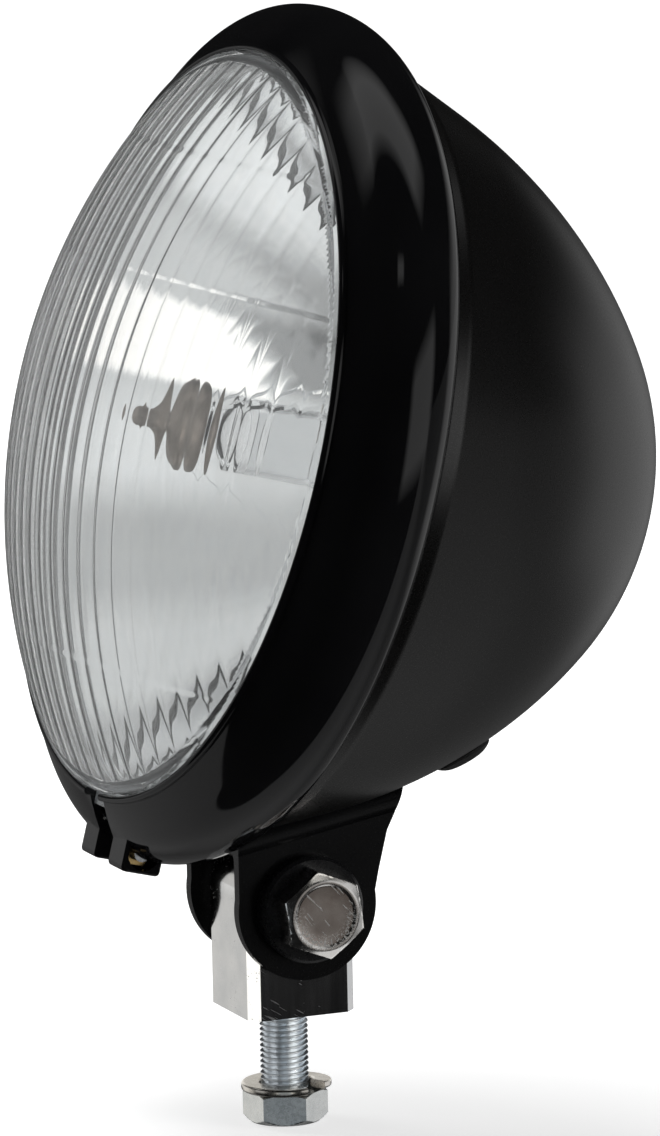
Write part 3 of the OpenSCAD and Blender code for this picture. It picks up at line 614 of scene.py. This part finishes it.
def make_mirror(b):
    steps = 40
    radii = [HOLE_R + (MOUTH_R - HOLE_R) * i / steps for i in range(steps + 1)]
    neck_z = parabola(HOLE_R) - 7
    front = [(BULB_R, neck_z), (BULB_R, neck_z + MIRROR_WALL), (HOLE_R, neck_z + MIRROR_WALL)]
    front += [(r, parabola(r)) for r in radii]
    back = []
    for r in reversed(radii[1:]):
        slope = r / (2 * FOCUS)
        n = math.hypot(1, slope)
        back.append((r + MIRROR_WALL * slope / n, parabola(r) - MIRROR_WALL / n))
    neck_out = HOLE_R + MIRROR_WALL
    tail = [(neck_out, parabola(neck_out) - MIRROR_WALL), (neck_out, neck_z)]
    spin(b, front + [(RIM_R, SEAL_BACK_Z), (RIM_R, FLANGE_BACK_Z)] + back + tail, 160)


mirror_bowl = new_piece("mirror_bowl", make_mirror, mirror, "lamp")
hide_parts("reflector")

# %% [markdown]
# ## The bulb shield
# A small bell hides the bulb from in front. It flares from a round nose to a shallow dish, and
# three thin straps carry it from the mirror.

# %% The bell on its three straps
LEG_R, STRAP_W, STRAP_T, STRAP_ANGLES = 24.0, 0.4, 0.13, (35, 145, 270)


def make_shield(b):
    front = [(0, 7.0), (0.9, 6.8), (1.6, 6.2), (1.9, 5.3), (1.8, 4.2), (2.0, 3.0), (2.7, 1.8),
             (3.9, 0.6), (5.3, -0.6), (6.7, -1.7), (7.8, -2.8), (8.5, -4.0), (8.8, -5.2),
             (8.75, -6.2)]
    back = [(8.1, -6.2), (7.7, -4.6), (6.6, -3.1), (5.0, -1.7), (3.2, -0.4), (1.2, 0.8), (0, 1.2)]
    spin(b, front + back, 96)


def make_straps(b):
    foot_z = parabola(LEG_R) + 0.1
    spine = [(8.1, -5.9), (9.2, -9.5), (12.0, -18.0), (17.0, -31.0), (LEG_R - 2.4, foot_z + 2.2),
             (LEG_R - 0.8, foot_z + 0.4), (LEG_R + 1.6, parabola(LEG_R + 1.6) + 0.1)]
    for angle in STRAP_ANGLES:
        a = math.radians(angle)
        out, side = Vector((math.cos(a), math.sin(a), 0)), Vector((-math.sin(a), math.cos(a), 0))
        rows = []
        for r, z in spine:
            corners = [(out * (r + t) + side * w + Vector((0, 0, z + t))) * MM
                       for w, t in ((-STRAP_W, -STRAP_T), (STRAP_W, -STRAP_T),
                                    (STRAP_W, STRAP_T), (-STRAP_W, STRAP_T))]
            rows.append([b.verts.new(LAMP @ corner) for corner in corners])
        join_rings(b, rows)


shield = new_piece("bell_shield", make_shield, finish["shield_metal"], "lamp", 30)
straps = new_piece("shield_straps", make_straps, mirror, "lamp", 30)
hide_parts("bulb_shield")
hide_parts("bulb_shield")

# %% [markdown]
# ## The pressed glass
# The glass is smooth outside and fluted inside, so that it spreads the beam to the sides.
# Its inner face follows a rule: a sphere, with shallow flutes side by side across it, and two
# bands that lie a little deeper. Geometry Nodes suit that: a flat grid is laid over the sphere
# by formula, its rim is pulled out into the flange, and the same grid without flutes makes the
# outer face.

# %% Helpers for trees with named inputs
def new_tree(name, sizes):
    tree = bpy.data.node_groups.new(name, "GeometryNodeTree")
    for label, value in sizes.items():
        kind = "NodeSocketInt" if isinstance(value, int) else "NodeSocketFloat"
        item = tree.interface.new_socket(label, in_out="INPUT", socket_type=kind)
        item.default_value = value
    tree.interface.new_socket("Material", in_out="INPUT", socket_type="NodeSocketMaterial")
    tree.interface.new_socket("Geometry", in_out="OUTPUT", socket_type="NodeSocketGeometry")
    group_in = tree.nodes.new("NodeGroupInput")
    return tree, {label: Formula(tree, group_in.outputs[label]) for label in sizes}, group_in


def finish_tree(tree, group_in, shape):
    realize = tree.nodes.new("GeometryNodeRealizeInstances")
    coat = tree.nodes.new("GeometryNodeSetMaterial")
    out = tree.nodes.new("NodeGroupOutput")
    tree.links.new(shape, realize.inputs[0])
    tree.links.new(realize.outputs[0], coat.inputs["Geometry"])
    tree.links.new(group_in.outputs["Material"], coat.inputs["Material"])
    tree.links.new(coat.outputs[0], out.inputs[0])


def grown(name, tree, material, body, matrix, sharp_degrees=35):
    """Runs a tree once and keeps its result as a plain mesh in the frame."""
    holder = bpy.data.objects.new(name + "_tree", bpy.data.meshes.new(name + "_tree"))
    bpy.context.scene.collection.objects.link(holder)
    modifier = holder.modifiers.new("tree", "NODES")
    modifier.node_group = tree
    for item in tree.interface.items_tree:
        if item.name == "Material" and item.in_out == "INPUT":
            modifier[item.identifier] = material
    graph = bpy.context.evaluated_depsgraph_get()
    mesh = bpy.data.meshes.new_from_object(holder.evaluated_get(graph))
    holder.modifiers.remove(modifier)
    bpy.data.objects.remove(holder)
    mesh.name = name
    mesh.transform(matrix)
    b = bmesh.new()
    b.from_mesh(mesh)
    bmesh.ops.recalc_face_normals(b, faces=b.faces)
    open_edges = sum(1 for e in b.edges if not e.is_manifold)
    b.to_mesh(mesh)
    b.free()
    print(name, "has", len(mesh.polygons), "faces and", open_edges, "open edges")
    return set_up(name, mesh, body, sharp_degrees)


def joined(tree, values):
    """A position from three formulas."""
    join = tree.nodes.new("ShaderNodeCombineXYZ")
    for value, slot in zip(values, join.inputs):
        feed(value, slot)
    return join.outputs[0]


def moved(tree, geometry, place, chosen=None):
    node = tree.nodes.new("GeometryNodeSetPosition")
    tree.links.new(geometry, node.inputs["Geometry"])
    tree.links.new(joined(tree, place), node.inputs["Position"])
    if chosen is not None:
        tree.links.new(chosen, node.inputs["Selection"])
    return node.outputs[0]


def clean(tree, geometry):
    node = tree.nodes.new("GeometryNodeMergeByDistance")
    node.inputs["Distance"].default_value = 1e-6
    tree.links.new(geometry, node.inputs["Geometry"])
    return node.outputs[0]


# %% The glass, by rule
FACE_R, RIM_BAND, RISE, LENS_WALL = 71.5, 3.4, 22.9, 3.4
FLUTES, FLUTE_DEPTH, BAND_STEP = 24, 0.12, 0.1
dome_R = (FACE_R ** 2 + RISE ** 2) / (2 * RISE)
dome_cz = RISE - dome_R
inner_r, inner_R = FACE_R - RIM_BAND, dome_R - LENS_WALL
GLASS_BACK_Z = GLASS_FRONT_Z - 4

lens_sizes = {
    "Flutes": FLUTES, "Steps a flute": 8, "Rows": 260,
    "Flute depth": FLUTE_DEPTH * MM, "Band step": BAND_STEP * MM,
    "Inner reach": inner_r * MM, "Inner radius": inner_R * MM,
    "Outer reach": FACE_R * MM, "Outer radius": dome_R * MM, "Centre": dome_cz * MM,
    "Top line": 50 * MM, "Upper line": 27 * MM, "Low line": -46 * MM,
    "Flange reach": RIM_R * MM,
    "Flange front": GLASS_FRONT_Z * MM, "Flange back": GLASS_BACK_Z * MM,
}


def lens_tree():
    tree, size, group_in = new_tree("pressed_lens", lens_sizes)
    reach_in, reach_out = size["Inner reach"], size["Outer reach"]
    grid = tree.nodes.new("GeometryNodeMeshGrid")
    grid.inputs["Size X"].default_value = 2.0
    feed(reach_in * 2.0, grid.inputs["Size Y"])
    feed(size["Flutes"] * size["Steps a flute"] + 1.0, grid.inputs["Vertices X"])
    feed(size["Rows"], grid.inputs["Vertices Y"])
    where = tree.nodes.new("GeometryNodeInputPosition").outputs[0]
    across, up, _ = axes(tree, where)
    widest = (reach_in / size["Inner radius"]).math("ARCSINE")
    x = (across * widest).math("SINE") * size["Inner radius"]
    half = (reach_in * reach_in - x * x).math("MAXIMUM", 0.0).math("SQRT")
    y = up.math("MINIMUM", half).math("MAXIMUM", half * -1.0)
    in_flute = ((across + 1.0) * size["Flutes"] * 0.5 + 0.0001).math("FRACT") * 2.0 - 1.0
    square = in_flute * in_flute
    bulge = (square * square * -1.0 + 1.0) * size["Flute depth"]
    band = y.math("GREATER_THAN", size["Upper line"]) * y.math("LESS_THAN", size["Top line"])
    band = band + y.math("LESS_THAN", size["Low line"])

    def dome(radius, px, py):
        return (radius * radius - px * px - py * py).math("SQRT") + size["Centre"]

    z = dome(size["Inner radius"] + bulge + band * size["Band step"], x, y)

    inner = clean(tree, moved(tree, grid.outputs["Mesh"], (x, y, z)))
    ox, oy = x * (reach_out / reach_in), y * (reach_out / reach_in)
    oz = dome(size["Outer radius"], ox, oy)
    outer = clean(tree, moved(tree, grid.outputs["Mesh"], (ox, oy, oz)))

    # The rim: the inner face's edge is pulled back, out, forward and in again, ring by ring.
    shape = inner
    edge_count = tree.nodes.new("GeometryNodeInputMeshEdgeNeighbors")
    chosen = Formula(tree, edge_count.outputs[0]).math("COMPARE", 1.0, 0.1).socket
    edge_z = dome(size["Outer radius"], reach_out, reach_out * 0.0)
    reach_before = reach_in
    steps = (
        (reach_in, size["Flange back"]),
        (size["Flange reach"], size["Flange back"]),
        (size["Flange reach"], size["Flange front"]),
        (reach_out, size["Flange front"]),
        (reach_out, edge_z),
    )
    for reach, height in steps:
        pull = tree.nodes.new("GeometryNodeExtrudeMesh")
        pull.mode = "EDGES"
        pull.inputs["Offset Scale"].default_value = 0.0
        tree.links.new(shape, pull.inputs["Mesh"])
        tree.links.new(chosen, pull.inputs["Selection"])
        hx, hy, _ = axes(tree, where)
        scale = reach / reach_before
        chosen = pull.outputs["Top"]
        shape = moved(tree, pull.outputs["Mesh"], (hx * scale, hy * scale, height), chosen)
        reach_before = reach
    both = tree.nodes.new("GeometryNodeJoinGeometry")
    tree.links.new(shape, both.inputs[0])
    tree.links.new(outer, both.inputs[0])
    finish_tree(tree, group_in, clean(tree, both.outputs[0]))
    return tree


glass_lens = grown("glass_lens", lens_tree(), finish["glass"], "lamp", LAMP, 60)
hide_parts("lens")

# %% [markdown]
# ## The mounting bolt's thread
# A thread is a ridge that climbs one pitch for each turn. The shank is a fine grid wrapped round
# the bolt, and a formula lifts and lowers its skin with height and angle together.

# %% The threaded shank
PITCH, CORE_R, CREST_R = 1.06, 4.15, 4.75
SHANK_LOW, SHANK_TOP, SHANK_STEPS = -17.0, 11.0, 64
thread_sizes = {
    "Steps round": SHANK_STEPS, "Rows": 340, "Bottom": SHANK_LOW * MM, "Top": SHANK_TOP * MM,
    "Pitch": PITCH * MM, "Core": CORE_R * MM, "Crest": CREST_R * MM,
}


def thread_tree():
    tree, size, group_in = new_tree("threaded_shank", thread_sizes)
    grid = tree.nodes.new("GeometryNodeMeshGrid")
    grid.inputs["Size X"].default_value = 1.0
    grid.inputs["Size Y"].default_value = 1.0
    feed(size["Steps round"] + 1.0, grid.inputs["Vertices X"])
    feed(size["Rows"], grid.inputs["Vertices Y"])
    turn, share, _ = axes(tree, tree.nodes.new("GeometryNodeInputPosition").outputs[0])
    turn, share = turn + 0.5, share + 0.5
    height = size["Bottom"] + (size["Top"] - size["Bottom"]) * share
    phase = (height / size["Pitch"] - turn).math("FRACT")
    ridge = ((phase - 0.5).math("ABSOLUTE") * 2.0).math("SMOOTH_MIN", 0.9, 0.1)
    to_top, to_bottom = (size["Top"] - height) / (0.8 * MM), (height - size["Bottom"]) / (0.3 * MM)
    to_end = to_top.math("MINIMUM", to_bottom)
    r = size["Core"] + (size["Crest"] - size["Core"]) * ridge * to_end.clipped(0.0, 1.0)
    angle = turn * (2 * math.pi)
    place = (r * angle.math("COSINE"), r * angle.math("SINE"), height)
    finish_tree(tree, group_in, clean(tree, moved(tree, grid.outputs["Mesh"], place)))
    return tree


shank = grown("threaded_shank", thread_tree(), finish["stud_zinc"], "mount",
              Matrix.Identity(4), 50)


# %% Hexagon heads, turned and chamfered
MOUNT_AF, MOUNT_TURN, MOUNT_SEAT_Z = 14.3, 7, -16.4
PIVOT_AF, PIVOT_TURN, PIVOT_SEAT = 15.0, 8, 16.9
HEAD_HEIGHT = 6.0
PIVOT = Matrix.Translation((0, 0, PIVOT_HEIGHT * MM)) @ Matrix.Rotation(math.radians(90), 4, "Y")


def hex_turned(b, place, af, turn, rows, steps=120):
    """Rows of (height, radius). The hexagon cuts off whatever reaches past its flats."""
    rings = []
    for z, limit in rows:
        ring = []
        for i in range(steps):
            degrees = 360 * i / steps + turn
            local = math.radians(((degrees - turn) % 60) - 30)
            r = min(af / 2 / math.cos(local), limit)
            ring.append(b.verts.new(place @ around(r, math.radians(degrees), z)))
        rings.append(ring)
    join_rings(b, rings)


def chamfer(z_start, z_end, r_start, r_end, steps=8):
    return [(z_start + (z_end - z_start) * i / steps, r_start + (r_end - r_start) * i / steps)
            for i in range(steps + 1)]


def corner_r(af):
    return af / 2 / math.cos(math.radians(30))


def make_mount_head(b):
    flat, corner, end = MOUNT_AF / 2, corner_r(MOUNT_AF), MOUNT_SEAT_Z - HEAD_HEIGHT
    rows = chamfer(MOUNT_SEAT_Z, MOUNT_SEAT_Z - 0.5, flat + 0.1, corner)
    rows += chamfer(end + 1.1, end, corner, flat - 0.25)
    hex_turned(b, Matrix.Identity(4), MOUNT_AF, MOUNT_TURN, rows)
    # The shank's two ends are closed here.
    for height in (SHANK_TOP, SHANK_LOW):
        angles = [2 * math.pi * i / SHANK_STEPS for i in range(SHANK_STEPS)]
        b.faces.new([b.verts.new(around(CORE_R, a, height)) for a in angles])


bolt_head = new_piece("mounting_bolt_head", make_mount_head, finish["head_zinc"],
                      "mount", 25)
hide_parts("mounting_bolt")
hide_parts("mounting_bolt")


# %% The pivot bolt: shank, hexagon and its dished round face
def make_pivot_bolt(b):
    flat, corner, tip = PIVOT_AF / 2, corner_r(PIVOT_AF), PIVOT_SEAT + HEAD_HEIGHT
    rows = [(-26.1, 3.9), (-25.3, CREST_R), (PIVOT_SEAT, CREST_R), (PIVOT_SEAT, flat + 0.1)]
    rows += chamfer(PIVOT_SEAT + 0.1, PIVOT_SEAT + 0.5, flat + 0.2, corner, 4)
    rows += chamfer(tip - 0.75, tip - 0.03, corner, 6.85)
    rows += [(tip, 6.7), (tip, 6.35), (tip - 0.05, 6.1), (tip - 0.16, 5.85), (tip - 0.2, 5.6)]
    hex_turned(b, PIVOT, PIVOT_AF, PIVOT_TURN, rows + [(tip - 0.16, 3.0)])


pivot_bolt = new_piece("pivot_bolt_turned", make_pivot_bolt, struck_zinc,
                       "mount", 22)
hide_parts("pivot_bolt")

# %% [markdown]
# ## The split washer
# A spring washer is one turn of square wire whose ends spring apart. Here a rounded section
# goes round the bolt, and the last part of the turn lifts and opens outwards a little.

# %% The split washer
WIRE_R, WIRE_HALF_W, WIRE_HALF_H, WIRE_ROUND = 6.72, 1.8, 0.8, 0.55
END_LIFT, END_OUT, SPRUNG_STEPS = 1.1, 1.3, 34


def make_washer(b):
    section = []
    for quarter, (sx, sz) in enumerate(((1, 1), (-1, 1), (-1, -1), (1, -1))):
        for k in range(5):
            a = math.radians(90 * quarter + 22.5 * k)
            section.append((sx * (WIRE_HALF_W - WIRE_ROUND) + WIRE_ROUND * math.cos(a),
                            sz * (WIRE_HALF_H - WIRE_ROUND) + WIRE_ROUND * math.sin(a)))
    rings, steps = [], 120
    for i in range(steps + 1):
        a = math.radians(30 + 340 * i / steps)
        spring = max(0.0, 1 - i / SPRUNG_STEPS)
        middle_r = WIRE_R + END_OUT * spring ** 2
        middle_z = MOUNT_SEAT_Z + WIRE_HALF_H + END_LIFT * spring ** 1.5
        rings.append([b.verts.new(around(middle_r + r, a, middle_z + z)) for r, z in section])
    join_rings(b, rings)


washer = new_piece("split_washer", make_washer, finish["washer_steel"], "mount", 40)
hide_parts("mounting_lock_washer")

# %% [markdown]
# ## Floor, light and camera
# The studio is white, and the lamp stands in soft light. Black gloss and bright metal show
# little of their own: they show the room. So the room is laid out by direction, seen from the
# lamp: a long soft box overhead, four soft panels round it, and a white table that ends in a
# straight edge below. All else is dark. The glass and the mirror in it see a paler room.

# %% White floor under and behind the lamp
def make_floor():
    mesh = bpy.data.meshes.new("floor")
    low = cad_low.z - 0.0006
    mesh.from_pydata([(-3, -3, low), (3, -3, low), (3, 3, low), (-3, 3, low)], [], [(0, 1, 2, 3)])
    sheet = bpy.data.objects.new("floor", mesh)
    bpy.context.scene.collection.objects.link(sheet)
    material, tree, shader, where = finish_base("floor_white")
    shader.inputs["Base Color"].default_value = (0.8, 0.8, 0.8, 1)
    shader.inputs["Roughness"].default_value = 1.0
    shader.inputs["Specular IOR Level"].default_value = 0.0
    path = tree.nodes.new("ShaderNodeLightPath")
    glow = tree.nodes.new("ShaderNodeEmission")
    x, y, _ = axes(tree, where)
    far = (((x * x + y * y).math("SQRT") - 0.1) * 2.5).clipped(0.0, 1.0)
    camera, *mirrored = (Formula(tree, path.outputs[f"Is {kind} Ray"])
                         for kind in ("Camera", "Glossy", "Transmission", "Shadow"))
    feed(camera * (far * 0.3 + 0.7), glow.inputs["Strength"])
    lit = tree.nodes.new("ShaderNodeAddShader")
    tree.links.new(shader.outputs["BSDF"], lit.inputs[0])
    tree.links.new(glow.outputs[0], lit.inputs[1])
    # A reflection looks through the sheet at the table that the room shows.
    through = tree.nodes.new("ShaderNodeBsdfTransparent")
    mirrored = (mirrored[0] + mirrored[1] + mirrored[2]).clipped(0.0, 1.0)
    mixed(tree, mirrored, lit.outputs[0], through.outputs[0])
    mesh.materials.append(material)


make_floor()


# %% The room, by direction
def soft_step(value, start, end):
    """0 before start, 1 after end, and the other way round when start is larger."""
    return ((value - start) / (end - start)).clipped(0.0, 1.0)


def towards(azimuth, x, y):
    """How far a direction goes towards an azimuth, 0 being the lamp's front."""
    a = math.radians(azimuth)
    return x * math.sin(a) + y * -math.cos(a)


def panel(x, y, z, azimuth, elevation, wide, high, edge):
    """1 inside a soft-edged panel. Its half sizes are tangents of the angles it takes up."""
    a, e = math.radians(azimuth), math.radians(elevation)
    ahead = towards(azimuth, x, y) * math.cos(e) + z * math.sin(e)
    across = (towards(azimuth + 90, x, y) / ahead).math("ABSOLUTE")
    up = ((towards(azimuth, x, y) * -math.sin(e) + z * math.cos(e)) / ahead).math("ABSOLUTE")
    inside = soft_step(across, wide + edge, wide - edge) * soft_step(up, high + edge, high - edge)
    return inside * ahead.above(0.0)


def with_panels(level, direction, panels):
    for *place, strength in panels:
        level = level + panel(*direction, *place) * strength
    return level


def make_room():
    world = bpy.data.worlds.new("studio")
    bpy.context.scene.world = world
    world.use_nodes = True
    tree = world.node_tree
    back = tree.nodes["Background"]
    x, y, z = axes(tree, tree.nodes.new("ShaderNodeTexCoord").outputs["Generated"])

    # Overhead box: its sides in plan, at unit height, along and across its length.
    rise = z.math("MAXIMUM", 0.001)
    along, across = towards(-33, x, y) / rise, towards(-120, x, y) / rise
    overhead = (soft_step(across, -0.08, 0.06) * soft_step(across, 0.62, 0.38)
                * soft_step(along, -0.95, -0.6) * soft_step(along, 1.3, 0.9))
    # The table: it ends in a straight line under the lamp, and fades away behind it.
    drop = (z * -1.0).math("MAXIMUM", 0.001)
    beside, ahead = towards(-123, x, y) / drop, towards(-33, x, y) / drop
    near = soft_step(beside, 0.9, 0.45).math("MAXIMUM", soft_step(beside - ahead * 0.9, 0.4, 0.0))
    table = soft_step(beside, 0.0, 0.03) * (near * 0.6 + 0.4)
    room = overhead * 0.72 + table * z.math("LESS_THAN", 0.0) * 0.23
    room = with_panels(room, (x, y, z), (
        (131, 6, 0.33, 0.28, 0.07, 0.6), (-52, 12, 0.26, 0.3, 0.1, 0.3),
        (-152, -8, 0.4, 0.3, 0.08, 0.31), (66, 56, 0.12, 0.05, 0.03, 0.6),
    )) + 0.006

    # What the mirror shows through the glass: an even pale room, with a warm white sheet
    # low in front of it, and a few paler and dimmer places.
    warm = panel(x, y, z, 38, -10, 0.24, 0.2, 0.02)
    inside = with_panels(warm * 0.9 + 0.8, (x, y, z), (
        (-30, -53, 0.4, 0.2, 0.1, 0.4), (-6, -30, 0.2, 0.25, 0.12, -0.4),
        (-84, 46, 0.25, 0.22, 0.12, -0.25), (54, 22, 0.3, 0.24, 0.12, 0.25),
        (27, 54, 0.5, 0.3, 0.14, -0.24), (11, -14, 0.19, 0.2, 0.05, -0.45),
    )).math("MAXIMUM", 0.15)

    path = tree.nodes.new("ShaderNodeLightPath")
    camera_sees = Formula(tree, path.outputs["Is Camera Ray"])
    glass_sees = Formula(tree, path.outputs["Is Transmission Ray"])
    hidden = camera_sees * -1.0 + 1.0
    level = hidden * (room + (inside - room) * glass_sees) + camera_sees
    feed(level, back.inputs["Strength"])
    tint = blend(tree, warm, (0.99, 1.0, 0.985), (1.0, 0.97, 0.92))
    colour = blend(tree, glass_sees, (1, 1, 1))
    tree.links.new(tint.outputs["Result"], colour.inputs["B"])
    tree.links.new(colour.outputs["Result"], back.inputs["Color"])



make_room()


# %% Soft lamps, seen only by what scatters light
def soft_box(name, place, aim, wide, high, power, only_on=None, tint=(1, 1, 1)):
    light = bpy.data.lights.new(name, "AREA")
    light.color = tint
    light.shape = "RECTANGLE"
    light.size, light.size_y = wide, high
    light.energy = power
    lamp = bpy.data.objects.new(name, light)
    bpy.context.scene.collection.objects.link(lamp)
    lamp.visible_glossy = only_on is not None
    lamp.visible_transmission = False
    if only_on:
        lit = bpy.data.collections.new(name + "_lights")
        for piece in only_on:
            lit.objects.link(piece)
        lamp.light_linking.receiver_collection = lit
    lamp.location = place
    direction = Vector(aim) - Vector(place)
    lamp.rotation_mode = "QUATERNION"
    lamp.rotation_quaternion = direction.to_track_quat("-Z", "Y")


CENTRE = (0, 0, 0.1)
soft_box("overhead_box", (-0.25, -0.15, 1.1), CENTRE, 0.9, 0.5, 7)
soft_box("right_box", (0.85, 0.65, 0.2), CENTRE, 0.5, 0.5, 3)
soft_box("left_box", (-0.75, -0.6, 0.35), CENTRE, 0.5, 0.5, 2)


# %% Small cards close to the bright metal, as a photographer sets them
CARD_DISTANCE = 0.5


def card(name, azimuth, elevation, wide, high, level, pieces, tint):
    """A card seen in the pieces, at an azimuth and elevation from the pivot."""
    a, e = math.radians(azimuth), math.radians(elevation)
    pivot = Vector((0, 0, PIVOT_HEIGHT * MM))
    way = Vector((math.sin(a) * math.cos(e), -math.cos(a) * math.cos(e), math.sin(e)))
    power = level * math.pi * wide * high
    soft_box(name, pivot + way * CARD_DISTANCE, pivot, wide, high, power, pieces, tint)


WHITE, COOL, WARM = (1, 1, 1), (0.86, 0.94, 1.0), (1.0, 0.98, 0.93)
BROWN = (1.0, 0.93, 0.88)
stud, head = [shank], [bolt_head, washer]
clamp = [nodes["ring_clamp_screw"], nodes["ring_clamp_nut"]]
crosswise = [pivot_bolt, nodes["pivot_nut"], nodes["pivot_lock_washer"]]
block, collar = [nodes["mounting_block"]], [nodes["pivot_collar"]]

# Name, azimuth, elevation, width, height, level, what it lights, tint
cards = (
    ("stud_left", -50, -9, 0.5, 0.4, 0.8, stud, WHITE),
    ("stud_front", 10, -9, 0.36, 0.4, 1.3, stud, WHITE),
    ("stud_near", 67, -9, 0.3, 0.4, 0.7, stud, COOL),
    ("stud_right", 118, -9, 0.42, 0.4, 2.2, stud, WARM),
    ("stud_back", 176, -9, 0.5, 0.4, 1.0, stud, COOL),
    ("stud_high", 60, 66, 0.5, 0.5, 1.4, stud, WHITE),
    ("stud_low", 247, -50, 0.5, 0.4, 1.1, stud, WHITE),
    ("head_left", -50, -9, 0.5, 0.34, 0.52, head, WARM),
    ("head_near", 67, -9, 0.3, 0.3, 0.3, head, COOL),
    ("head_back", 187, -9, 0.5, 0.34, 0.42, head, WHITE),
    ("washer_top", 247, 12, 0.6, 0.5, 0.6, [washer], WARM),
    ("washer_edge", 67, -9, 0.4, 0.16, 0.9, [washer], WARM),
    ("face_crown", 122, 46, 0.44, 0.3, 1.0, crosswise, WARM),
    ("face_low", 140, -58, 0.4, 0.34, 0.7, crosswise, WHITE),
    ("face_right", 174, -9, 0.3, 0.34, 0.6, crosswise, WHITE),
    ("face_left", 48, -9, 0.2, 0.34, 0.6, crosswise, COOL),
    ("face_side", -66, -12, 0.4, 0.3, 0.5, crosswise, WHITE),
    ("face_middle", 112, -9, 0.24, 0.24, 0.17, crosswise, BROWN),
    ("collar", -67, -9, 0.24, 0.3, 0.9, collar, COOL),
    ("block_left", -66, -6, 0.5, 0.3, 0.44, block, WARM),
    ("block_edge", 22, -8, 0.2, 0.4, 1.5, block, WARM),
    ("block_back", -158, -9, 0.3, 0.3, 0.3, block, WHITE),
    # Dim ones that only the other sides of the metal see.
    ("ahead", 0, 2, 0.3, 0.3, 0.45, block + crosswise + head, WHITE),
    ("behind", 174, 4, 0.2, 0.3, 0.45, block + crosswise, WHITE),
    ("far_side", 270, 2, 0.3, 0.3, 0.45, block + crosswise + head, WHITE),
    ("clamp_right", 116, 6, 0.4, 0.26, 0.75, clamp, WHITE),
    ("clamp_left", -66, -6, 0.5, 0.3, 0.85, clamp, WHITE),
    ("clamp_front", 20, -6, 0.12, 0.4, 0.9, clamp, WHITE),
    ("clamp_high", 30, 62, 0.5, 0.5, 0.7, clamp, WHITE),
)
for name, *where_and_how in cards:
    card(name + "_card", *where_and_how)
print(len(cards), "cards set")

# %% Camera at the photograph's angle
AZIMUTH, ELEVATION, ROLL = math.radians(67.65), math.radians(9.5), math.radians(-1.23)
DISTANCE, FOCAL_PX = 1400.0, 7238.0
FRAME_W, FRAME_H = 660, 1136
ORIGIN_PX = (283.17, 1005.33)


def make_camera():
    flat = Vector((math.sin(AZIMUTH), -math.cos(AZIMUTH), 0))
    back = flat * math.cos(ELEVATION) + Vector((0, 0, math.sin(ELEVATION)))
    right = Vector((math.cos(AZIMUTH), math.sin(AZIMUTH), 0))
    up = back.cross(right)
    right, up = (math.cos(ROLL) * right + math.sin(ROLL) * up,
                 -math.sin(ROLL) * right + math.cos(ROLL) * up)
    x = (ORIGIN_PX[0] - FRAME_W / 2) / FOCAL_PX * DISTANCE
    y = -(ORIGIN_PX[1] - FRAME_H / 2) / FOCAL_PX * DISTANCE
    centre = -(right * x + up * y - back * DISTANCE) * MM
    data = bpy.data.cameras.new("camera")
    data.sensor_width = 36
    data.lens = FOCAL_PX / FRAME_H * 36
    data.clip_start, data.clip_end = 0.05, 50
    camera = bpy.data.objects.new("camera", data)
    bpy.context.scene.collection.objects.link(camera)
    camera.matrix_world = Matrix((
        (right.x, up.x, back.x, centre.x),
        (right.y, up.y, back.y, centre.y),
        (right.z, up.z, back.z, centre.z),
        (0, 0, 0, 1),
    ))
    bpy.context.scene.camera = camera
    print("camera lens", round(data.lens, 1), "mm")


make_camera()
bpy.context.scene.view_settings.view_transform = "Standard"
